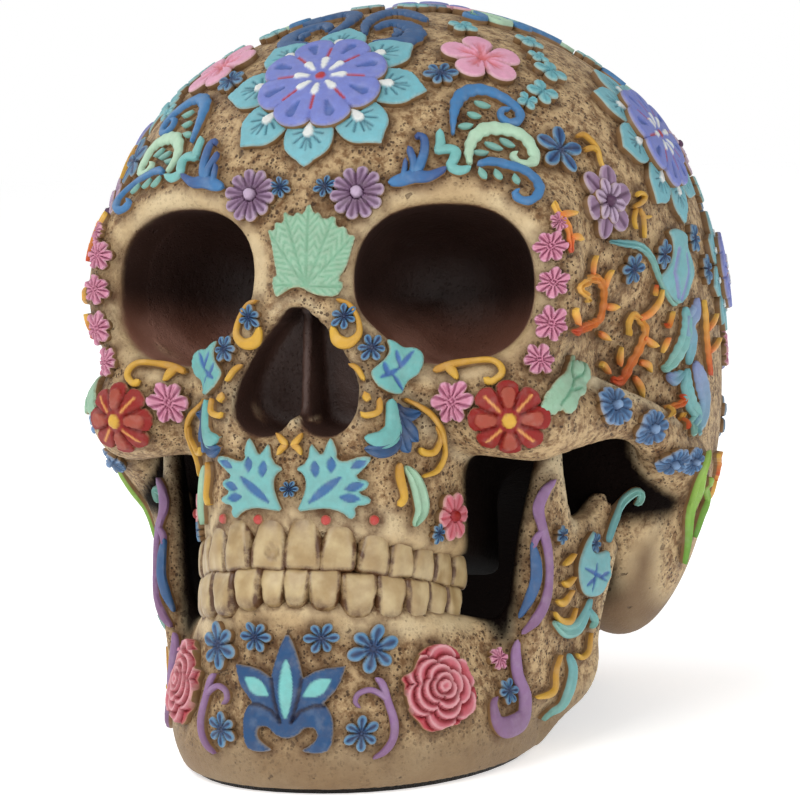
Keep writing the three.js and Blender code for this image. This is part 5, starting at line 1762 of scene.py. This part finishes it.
LEAFLETS = [
    [[556, 218, 1.2], [563, 216, 1.4], [572, 215, 0.7]],
    [[567, 239, 1.2], [574, 238, 1.4], [577, 242, 0.7]],
    [[588, 274, 1.2], [589, 264, 1.6], [592, 255, 0.7]],
    [[601, 287, 1.2], [604, 277, 1.6], [609, 269, 0.7]],
    [[602, 305, 1.2], [609, 306, 1.6], [615, 305, 0.7]],
    [[595, 332, 1.2], [601, 335, 1.6], [606, 338, 0.7]],
    [[574, 323, 1.2], [572, 312, 1.6], [573, 307, 0.7]],
    [[636, 318, 1.2], [647, 312, 1.6], [656, 300, 1.4], [658, 289, 0.7]],
    [[640, 336, 1.2], [649, 343, 1.6], [654, 345, 0.7]],
    [[617, 364, 1.2], [617, 354, 1.6], [618, 345, 0.7]],
    [[606, 371, 1.2], [599, 364, 1.6], [595, 366, 0.7]],
    [[636, 361, 1.2], [645, 364, 1.6], [647, 371, 0.7]],
    [[631, 375, 1.2], [638, 386, 1.6], [640, 396, 0.7]],
]
LONE_LEAFLETS = [
    [[665, 337, 1], [662, 344, 1.5], [658, 352, 0.7]],
    [[703, 330, 1], [709, 322, 1.3], [712, 314, 0.7]],
    [[705, 352, 1], [711, 346, 1.3], [715, 338, 0.7]],
]
FLAME_ANCHOR = (610, 325)
FLAME_SPOTS = [(20, -40, 20, 0.8), (40, -46, -30, 0.7), (60, 46, 200, 0.6), (50, 24, 150, 0.5)]
flame_paths = seen(LONE_FLAMES) + everywhere(FLAMES, FLAME_ANCHOR, FLAME_SPOTS)
leaflet_paths = seen(LONE_LEAFLETS) + everywhere(LEAFLETS, FLAME_ANCHOR, FLAME_SPOTS)
lay_strands("flames", flame_paths, [FLAME_YELLOW, FLAME_RED], both_sides("temple_flame"),
            wave=0.22, thin=THINNER, section=creased_section)
lay_strands("leaflets", leaflet_paths, [ORANGE, FLAME_YELLOW])

# The wing leaves: long teal and lavender leaves that hang behind the flames on a teal stem.
# They are cast with the bone, with a crease along each.
# A long green leaf with two blades runs down the edge of the bone below them.
WING_TEAL = tone(120, 184, 190)
WING_MINT = tone(146, 202, 188)
LAVENDER = tone(142, 156, 204)
GREEN = tone(118, 178, 66)
GREEN_PALE = tone(166, 204, 92)
WING_LEAVES = [
    [[606, 241, 0.6], [620, 243, 1.4], [636, 246, 1.6], [647, 257, 1.4], [654, 275, 1.2], [663, 293, 1.2],
     [672, 304, 2]],
    [[680, 307, 2], [683, 321, 3.5], [681, 339, 4], [672, 357, 3.5], [663, 367, 2], [658, 366, 1]],
    [[683, 368, 2], [683, 387, 4], [688, 405, 4], [693, 418, 3], [688, 436, 1.5]],
]
WING_LAVENDER = [
    [[692, 298, 1.5], [692, 311, 4], [685, 323, 4], [688, 339, 4], [686, 355, 3], [683, 364, 1.5]],
    [[663, 375, 1.4], [672, 378, 3], [679, 371, 1.4]],
    [[690, 362, 2], [697, 380, 5], [701, 400, 5], [697, 420, 4], [695, 436, 1.5]],
]
GREEN_BLADES = [
    [[704, 452, 1], [699, 472, 2.6], [692, 498, 3.2], [685, 530, 2.6], [680, 562, 1]],
    [[706, 476, 1], [703, 496, 2.2], [697, 516, 2.2], [690, 536, 1]],
]
lay_strands("wing_leaves", seen(WING_LEAVES), [WING_TEAL, WING_MINT], both_sides("temple_leaf"),
            wave=0.1, section=creased_section)
lay_strands("wing_lavender", seen(WING_LAVENDER), [LAVENDER, WING_TEAL],
            wave=0.08, section=creased_section)
lay_strands("green_blades", seen(GREEN_BLADES), [GREEN_PALE, GREEN], both_sides("mastoid_leaf"),
            section=creased_section)

# The lobed leaves: flat mint and teal leaves on the cheeks, beside the nose and on the branches of the jaw.
# They are cast with the bone, with veins painted and pressed in.
# The tulip by the nose has a teal cup and blue petals, and the teal bell at the temple has lavender folds.
CHEEK_LEAF = [
    [563, 352], [567, 361], [570, 370], [583, 363], [582, 374], [583, 383], [582, 397], [574, 399],
    [575, 413], [568, 413], [565, 408], [561, 418], [555, 411], [548, 406], [549, 391], [555, 380],
    [561, 374], [563, 364],
]
CHEEK_VEINS = [[[562, 404], [567, 386], [566, 366]], [[567, 386], [578, 372]], [[565, 394], [577, 391]]]
NOSE_LEAF = [
    [385, 339], [394, 341], [402, 349], [413, 348], [421, 354], [424, 364], [419, 374], [408, 379],
    [402, 386], [398, 395], [386, 396], [376, 390], [372, 380], [370, 372], [378, 365], [386, 357],
    [389, 349],
]
NOSE_VEINS = [
    [[378, 380], [394, 370]], [[394, 370], [412, 353]], [[397, 368], [394, 352]], [[384, 376], [382, 364]],
    [[388, 376], [398, 392]],
]
NOSE_TEAL = tone(112, 184, 180)
VEIN_BLUE = tone(54, 106, 172)
TULIP_BLUE = tone(58, 104, 152)
TULIP_DARK = tone(24, 50, 86)
TULIP_PETALS = [
    [[393, 404, 0.8], [398, 412, 2.2], [408, 415, 2.6], [420, 412, 0.8]],
    [[394, 412, 1], [401, 424, 3], [409, 434, 3.4], [414, 441, 1.2]],
    [[394, 422, 1], [400, 437, 3.4], [405, 452, 2.4]],
    [[396, 434, 1], [391, 444, 3.4], [379, 449, 3.2], [364, 447, 0.8]],
]
WING_BELL = [
    [656, 277], [662, 290], [674, 306], [681, 298], [684, 286], [689, 274], [686, 258], [682, 246],
    [684, 234], [672, 228], [662, 231], [667, 239], [668, 253], [663, 268],
]
BELL_FOLDS = [[[672, 250], [668, 272], [673, 296]], [[680, 256], [681, 274], [676, 298]]]
BRANCH_LEAF = [
    [590, 529], [582, 540], [577, 552], [573, 565], [574, 581], [578, 593], [587, 597], [598, 594],
    [601, 584], [606, 575], [604, 565], [605, 558], [603, 549], [596, 552], [589, 553], [585, 547],
    [588, 538],
]
BRANCH_VEINS = [
    [[578, 568], [600, 580]], [[590, 563], [586, 590]], [[594, 576], [603, 572]], [[580, 585], [589, 577]],
]
TULIP_CUP = [[388, 400, 2], [390, 416, 3], [390, 432, 4.2], [380, 439, 3.6], [364, 437, 1]]
MARK_TAPER = 0.7


def marked(ground, marks):
    """Plain paint with lines of other paint, each with its width and how deep it is pressed in."""

    def paint(p, inset):
        colours = plain(ground, p)
        dents = np.zeros(len(p))
        for line, width, ink, depth in marks:
            taper = MARK_TAPER if len(line) == 2 else 0.0
            on = np.max([line_on(p, a, b, width, taper) for a, b in zip(line, line[1:])], 0)
            colours = cover(colours, on, ink)
            dents = dents + depth * on
        return colours, dents

    return paint


def lay_traced(name, outline, ground, marks, slot, nodes=(), **style):
    """Lays a plate of a traced outline, with its marks, on both sides."""
    at, flat = traced(outline)
    drawn = [(flat(line), width, ink, depth) for line, width, ink, depth in marks]
    lay(name, plate(flat(outline), marked(ground, drawn), **style), [(at, 0, 1)], nodes)


lay_traced("cheek_leaves", CHEEK_LEAF, MINT, [(line, 0.6, MINT_VEIN, 0.35) for line in CHEEK_VEINS], "mint",
           both_sides("cheek_leaf"), step=0.34, rounds=1, crown=0.3)
lay_traced("nose_leaves", NOSE_LEAF, NOSE_TEAL, [(line, 1.0, VEIN_BLUE, 0.3) for line in NOSE_VEINS], "teal",
           both_sides("nose_leaf"), step=0.32, crown=0.3)
lay_strands("tulips", seen(TULIP_PETALS), [TULIP_DARK, TULIP_BLUE], both_sides("tulip"),
            section=creased_section)
lay_strands("tulip_cups", seen([TULIP_CUP]), [NOSE_TEAL])
lay_traced("wing_bells", WING_BELL, WING_TEAL, [(line, 1.3, LAVENDER, 0.35) for line in BELL_FOLDS], "sky",
           step=0.34, crown=0.4)
lay_traced("branch_leaves", BRANCH_LEAF, WING_TEAL, [(line, 0.9, VEIN_BLUE, 0.3) for line in BRANCH_VEINS],
           "teal", both_sides("ramus_leaf"), step=0.32, crown=0.3)

# The leaves over the teeth: a palmate teal leaf on each side, with a blue drop pressed into each lobe.
# A mint blade stands at each corner of the mouth, and there are red dots and one small star between.
# They are cast with the bone and painted.
PALM_TEAL = tone(122, 188, 186)
PALM_BLUE = tone(60, 112, 166)
PALM = [
    [296, 512], [302, 500], [307, 485], [304, 474], [294, 469], [308, 462], [311, 442], [317, 449],
    [323, 456], [329, 443], [335, 436], [340, 449], [338, 458], [346, 460], [361, 452], [371, 454],
    [363, 468], [354, 477], [370, 481], [367, 489], [357, 493], [372, 498], [369, 505], [354, 506],
    [356, 516], [350, 520], [342, 512], [327, 508], [312, 510],
]
PALM_DROPS = [
    [[311, 502], [341, 477]], [[316, 462], [317, 476]], [[334, 457], [332, 471]], [[353, 465], [364, 457]],
    [[346, 489], [362, 484]], [[341, 497], [358, 499]],
]
JAW_BLADE = [[402, 466, 1], [411, 477, 2.6], [417, 493, 3.4], [419, 510, 3.2], [411, 526, 1]]
MINT_BLADE = tone(176, 214, 184)
RED_DOTS = [(374, 520, 1), (326, 520, 1)]
DOT_RED = tone(196, 60, 56)
LIP_STAR_AT = (290, 489)
lay_traced("lip_leaves", PALM, PALM_TEAL, [(line, 1.7, PALM_BLUE, 0.4) for line in PALM_DROPS], "teal",
           both_sides("lip_leaf"), step=0.34, rounds=1, edge=0.7, crown=0.5)
lay_strands("jaw_blades", seen([JAW_BLADE]), [MINT_BLADE, MINT], both_sides("upper_jaw_leaf"),
            section=creased_section)
red_dot = rosette(3, 1.0, 0.95, 1.0, marked(DOT_RED, []), relief=0.8, edge=0.6, step=0.2)
lay("red_dots", red_dot, seen_places(RED_DOTS, 0))
lay("lip_star", star, [(cast(*LIP_STAR_AT) * [0, 1, 1], 0, 0.5)], both=False)

# The chin lily: a blue fleur with three pointed petals and two curled feet, cast with the bone and painted.
# Teal drops are let into the petals. The right half is listed, and the left half is its mirror image.
LILY_BLUE = tone(20, 76, 124)
LILY_DROP = tone(126, 204, 200)
LILY_FOLD = tone(10, 34, 66)
LILY_HALF = [
    [289, 631], [296, 646], [302, 667], [304, 678], [304, 678], [319, 669], [346, 666], [346, 666],
    [339, 687], [324, 703], [324, 703], [331, 712], [334, 727], [331, 750], [319, 754], [300, 751],
    [311, 745], [318, 738], [316, 728], [306, 727], [299, 735], [289, 739],
]
LILY_DROPS = [[[289, 662], [289, 716]], [[307, 695], [329, 681]]]
LILY_FOLDS = [[[303, 679], [300, 698], [294, 720]], [[293, 722], [302, 711], [314, 706], [325, 706]]]


def chin_lily():
    at, flat = traced(LILY_HALF, centred=True)
    half = flat(LILY_HALF)
    half[[0, -1], 0] = 0.0
    middle, side = [flat(line) for line in LILY_DROPS]
    middle[:, 0] = 0.0
    drops = [(middle, 2.6), (side, 2.8), (side * [-1, 1], 2.8)]
    folds = [flat(line) for line in LILY_FOLDS]
    folds += [line * [-1, 1] for line in folds]
    paint = marked(LILY_BLUE, [(line, 0.7, LILY_FOLD, 0.45) for line in folds]
                   + [(line, width, LILY_DROP, 0.3) for line, width in drops])
    outline = np.vstack([half, (half * [-1, 1])[-2:0:-1]])
    return at, plate(outline, paint, step=0.36, rounds=1, edge=0.6)


lily_at, lily_shape = chin_lily()
lay("lily", lily_shape, [(lily_at, 0, 1)], ["chin_lily"], False)

# The roses: full blooms at the corners of the chin, each a low mound of scalloped petals cast with the bone.
# They are painted in two pinks over red, with a painted shadow in deep red round each ring and a painted
# highlight on its edge. A smaller pink flower sits by each corner of the mouth.
ROSE_SHADOW_RED = tone(130, 14, 22)
ROSE_RED = tone(194, 66, 82)
ROSE_PINK = tone(214, 116, 130)
ROSE_PALE = tone(234, 172, 178)
ROSE = [
    [422, 648], [435, 644], [448, 645], [458, 653], [463, 664], [469, 678], [475, 691], [475, 706],
    [469, 714], [463, 716], [458, 725], [444, 726], [434, 733], [423, 730], [418, 722], [411, 715],
    [406, 704], [404, 693], [404, 685], [399, 679], [406, 674], [413, 670], [414, 658],
]
ROSE_RINGS = [(0.98, 6, 0.3), (0.74, 5, 1.0), (0.52, 4, 0.2), (0.32, 3, 1.3), (0.16, 2, 0.4)]
MOUTH_FLOWER_AT = [(449, 516, 0.85)]


def rose_paint(outline):
    """Paint for a bloom of scalloped rings of petals, each with a painted highlight at its edge and a
    painted shadow round it.
    """
    middle, half = (outline.max(0) + outline.min(0)) / 2, (outline.max(0) - outline.min(0)) / 2

    def paint(p, inset):
        q = (p - middle) / half
        out, angle = np.linalg.norm(q, axis=1), np.arctan2(q[:, 1], q[:, 0])
        colours = plain(ROSE_RED, p)
        dents = np.zeros(len(p))
        for reach, petals, turn_by in ROSE_RINGS:
            scallop = np.abs(np.cos(petals * (angle - turn_by) / 2)) ** 0.6
            inside = (reach * (0.76 + 0.24 * scallop) - out) * half.mean()
            shadow = ramp(inside, -1.1, -0.1) * (inside < 0)
            body = ramp(inside, -0.1, 0.1)
            edge = ramp(np.abs(inside - 0.4), 0.45, 0.1)
            colours = cover(cover(colours, 0.6 * shadow, ROSE_SHADOW_RED), body, ROSE_PINK)
            colours = cover(colours, body * ramp(inside, 0.6, 2.2), ROSE_RED)
            colours = cover(colours, 0.8 * edge, ROSE_PALE)
            dents = dents * (1 - body) + 0.6 * shadow - body * (0.2 + 0.5 * ramp(inside, 1.8, 0.3))
        return colours, dents

    return paint


rose_at, rose_flat = traced(ROSE)
rose_outline = rose_flat(ROSE)
rose = plate(rose_outline, rose_paint(rose_outline), step=0.3, crown=0.7)
lay("roses", rose, [(rose_at, 0, 1)], both_sides("chin_rose"))
mouth_paint = petal_paint(6, ROSE_PINK, ROSE_RED, ROSE_PALE, CHEEK_RED, 1.2)
mouth_flower = rosette(6, 5.6, 3.8, 0.5, mouth_paint, step=0.36)
lay("mouth_flowers", mouth_flower, seen_places(MOUTH_FLOWER_AT, 0))

# The jaw scrolls: violet strands beside the lily and up the branch of the jaw, with teal leaves behind them.
# They are cast with the bone and painted. The long hooked one ends in a broad curl round a blue star.
VIOLET = tone(158, 122, 168)
VIOLET_DARK = tone(136, 100, 138)
CHIN_SCROLLS = [
    [[374, 678, 0.8], [381, 684, 1.8], [387, 702, 1.8], [393, 722, 2], [392, 738, 1.8], [384, 750, 1.6],
     [372, 757, 0.6]],
    [[386, 700, 1.2], [379, 694, 1.4], [369, 690, 1.4], [358, 694, 1.3], [355, 702, 1.2], [360, 708, 0.8]],
]
JAW_HOOK = [
    [518, 640, 1], [515, 655, 2.2], [516, 675, 2.6], [522, 697, 3.2], [519, 718, 4.2], [505, 727, 4.2],
    [494, 722, 3], [490, 706, 1.6], [492, 698, 0.8],
]
RAMUS_BANDS = [
    [[551, 480, 1], [543, 493, 2.2], [538, 510, 2.4], [541, 530, 2], [545, 552, 2], [546, 575, 2],
     [543, 600, 2.2], [534, 620, 2.2], [522, 634, 1]],
    [[541, 530, 1], [535, 540, 1.6], [533, 550, 0.8]],
]
RAMUS_STRIP = [[532, 543, 0.8], [535, 560, 1.8], [535, 580, 2], [529, 600, 1.8], [520, 618, 0.8]]
RAMUS_LEAVES = [
    [[604, 542, 1.6], [610, 524, 1.8], [617, 508, 1.8], [626, 497, 1.9], [635, 491, 1.8], [640, 493, 1.6],
     [638, 501, 1.4], [633, 504, 0.8]],
    [[586, 598, 1], [582, 612, 2.6], [574, 626, 3.6], [562, 630, 2.8], [549, 621, 0.8]],
    [[584, 608, 1], [591, 620, 2], [586, 627, 0.8]],
    [[564, 653, 1.2], [569, 669, 2.8], [565, 691, 3], [555, 706, 2.2], [538, 718, 0.8]],
]
lay_strands("chin_scrolls", seen(CHIN_SCROLLS), [VIOLET, VIOLET_DARK], thin=THINNER)
lay_strands("jaw_hooks", seen([JAW_HOOK]), [VIOLET, VIOLET_DARK], both_sides("jaw_scroll"))
lay_strands("ramus_bands", seen(RAMUS_BANDS), [VIOLET, VIOLET_DARK], both_sides("ramus_scroll"),
            thin=THINNER)
lay_strands("ramus_strips", seen([RAMUS_STRIP]), [CROWN_BLUE])
lay_strands("ramus_leaves", seen(RAMUS_LEAVES), [WING_TEAL, WING_MINT], section=creased_section)

# The wash on the bone: brown paint that stayed round the feet of the ornaments and the teeth, with painted
# contact shade there.
# Between them is the pitted ground that the modeller's sponge left.
# Both follow the distance from each point of the bone to the nearest ornament.
GROUND_REACH = (9.0, 4.0)
VAULT_FOOT = (46.0, 62.0)
LOW_SHADE_BAND = (15.0, 5.0)
FOOT_WASH_AND_SHADE_REACH = (2.8, 0.4)
TOOTH_FOOT_WASH_AND_SHADE_REACH = (0.9, 0.2)
BARE_REACH = (6, 12)
SMOOTH_RIM_AT = 16.2


def near_gap(points, spots):
    tree = kdtree.KDTree(len(spots))
    for i, spot in enumerate(spots):
        tree.insert(spot, i)
    tree.balance()
    return np.array([tree.find(p)[2] for p in points])


all_spots = np.vstack(ornament_spots)[::3]
for piece, points in ((cranium_bone, cranium_points), (jaw_bone, jaw_points)):
    gap = near_gap(points, all_spots)
    tooth_gap = near_gap(points, np.vstack(tooth_spots))
    across, out, up = in_orbit(points).T
    ring = np.abs(np.hypot(across / ORBIT_WIDER, up) - SMOOTH_RIM_AT)
    smooth_rim = ramp(ring, 3.8, 2.2) * (out > -8)
    smooth_gum = ramp(tooth_gap, 5.0, 2.5)
    # The bone turns darker towards its foot, and where it lies far from the ornaments below the vault: brown
    # wash with painted shade.
    low = ramp(points[:, 2], *LOW_SHADE_BAND)
    bare_wash_and_shade = ramp(np.minimum(gap, tooth_gap), *BARE_REACH) * ramp(points[:, 2], *VAULT_FOOT[::-1])
    give(piece.data, "bare_wash_and_shade", np.maximum(bare_wash_and_shade, 0.8 * low))
    pitted = np.maximum(ramp(gap, *GROUND_REACH) * (1 - 0.8 * low), ramp(points[:, 2], *VAULT_FOOT))
    give(piece.data, "ground", pitted * (1 - 0.85 * np.maximum(smooth_rim, smooth_gum)))
    # The foot value darkens the bone round each ornament and tooth: brown wash with painted contact shade.
    foot = np.maximum(ramp(gap, *FOOT_WASH_AND_SHADE_REACH), ramp(tooth_gap, *TOOTH_FOOT_WASH_AND_SHADE_REACH))
    give(piece.data, "foot", foot)
for helper in (whole_bone, round_section, creased_section):
    bpy.data.objects.remove(helper)

# The studio: a pale floor in a white room of soft light.
# A large lamp stands high in front, with a smaller one at each side.
FLOOR_SIZE = 6.0
ROOM_LIGHT = 0.5
FLOOR_GLOW = 0.5
LAMP_TARGET = [0, 14, 70]
LAMPS = [((-0.35, -1.0, 1.0), 0.9, 10), ((0.95, -0.7, 0.5), 0.7, 3.5), ((-0.9, 0.3, 0.6), 0.7, 2.5)]


def pale_floor():
    material, tree, shader = finish_material("pale_floor", 0.8)
    pale = mix(tree, noise(tree, 40.0), colour(250, 250, 250), colour(253, 253, 253))
    tree.links.new(pale, shader.inputs["Base Color"])
    shader.inputs["Emission Color"].default_value = (1, 1, 1, 1)
    shader.inputs["Emission Strength"].default_value = FLOOR_GLOW
    return material


side = FLOOR_SIZE / 2
floor_mesh = bpy.data.meshes.new("floor")
floor_corners = [(-side, -side, 0), (side, -side, 0), (side, side, 0), (-side, side, 0)]
floor_mesh.from_pydata(floor_corners, [], [(0, 1, 2, 3)])
floor_mesh.materials.append(pale_floor())
floor = linked("floor", floor_mesh)
middle = Vector(metres(LAMP_TARGET))
for number, (at, size, power) in enumerate(LAMPS):
    lamp = bpy.data.lights.new(f"lamp_{number}", "AREA")
    lamp.size = size
    lamp.energy = power
    holder = linked(f"lamp_{number}", lamp)
    holder.location = at
    holder.rotation_euler = (middle - Vector(at)).to_track_quat("-Z", "Y").to_euler()
world = bpy.data.worlds.new("white_room")
world.use_nodes = True
room = world.node_tree
seen_by_view = put(room, "ShaderNodeLightPath").outputs["Is Camera Ray"]
strength = first(room, "ShaderNodeMapRange", {0: seen_by_view, 3: ROOM_LIGHT, 4: 1.0})
room.nodes["Background"].inputs["Color"].default_value = (1, 1, 1, 1)
room.links.new(strength, room.nodes["Background"].inputs["Strength"])
bpy.context.scene.world = world
bpy.context.scene.view_settings.view_transform = "Standard"
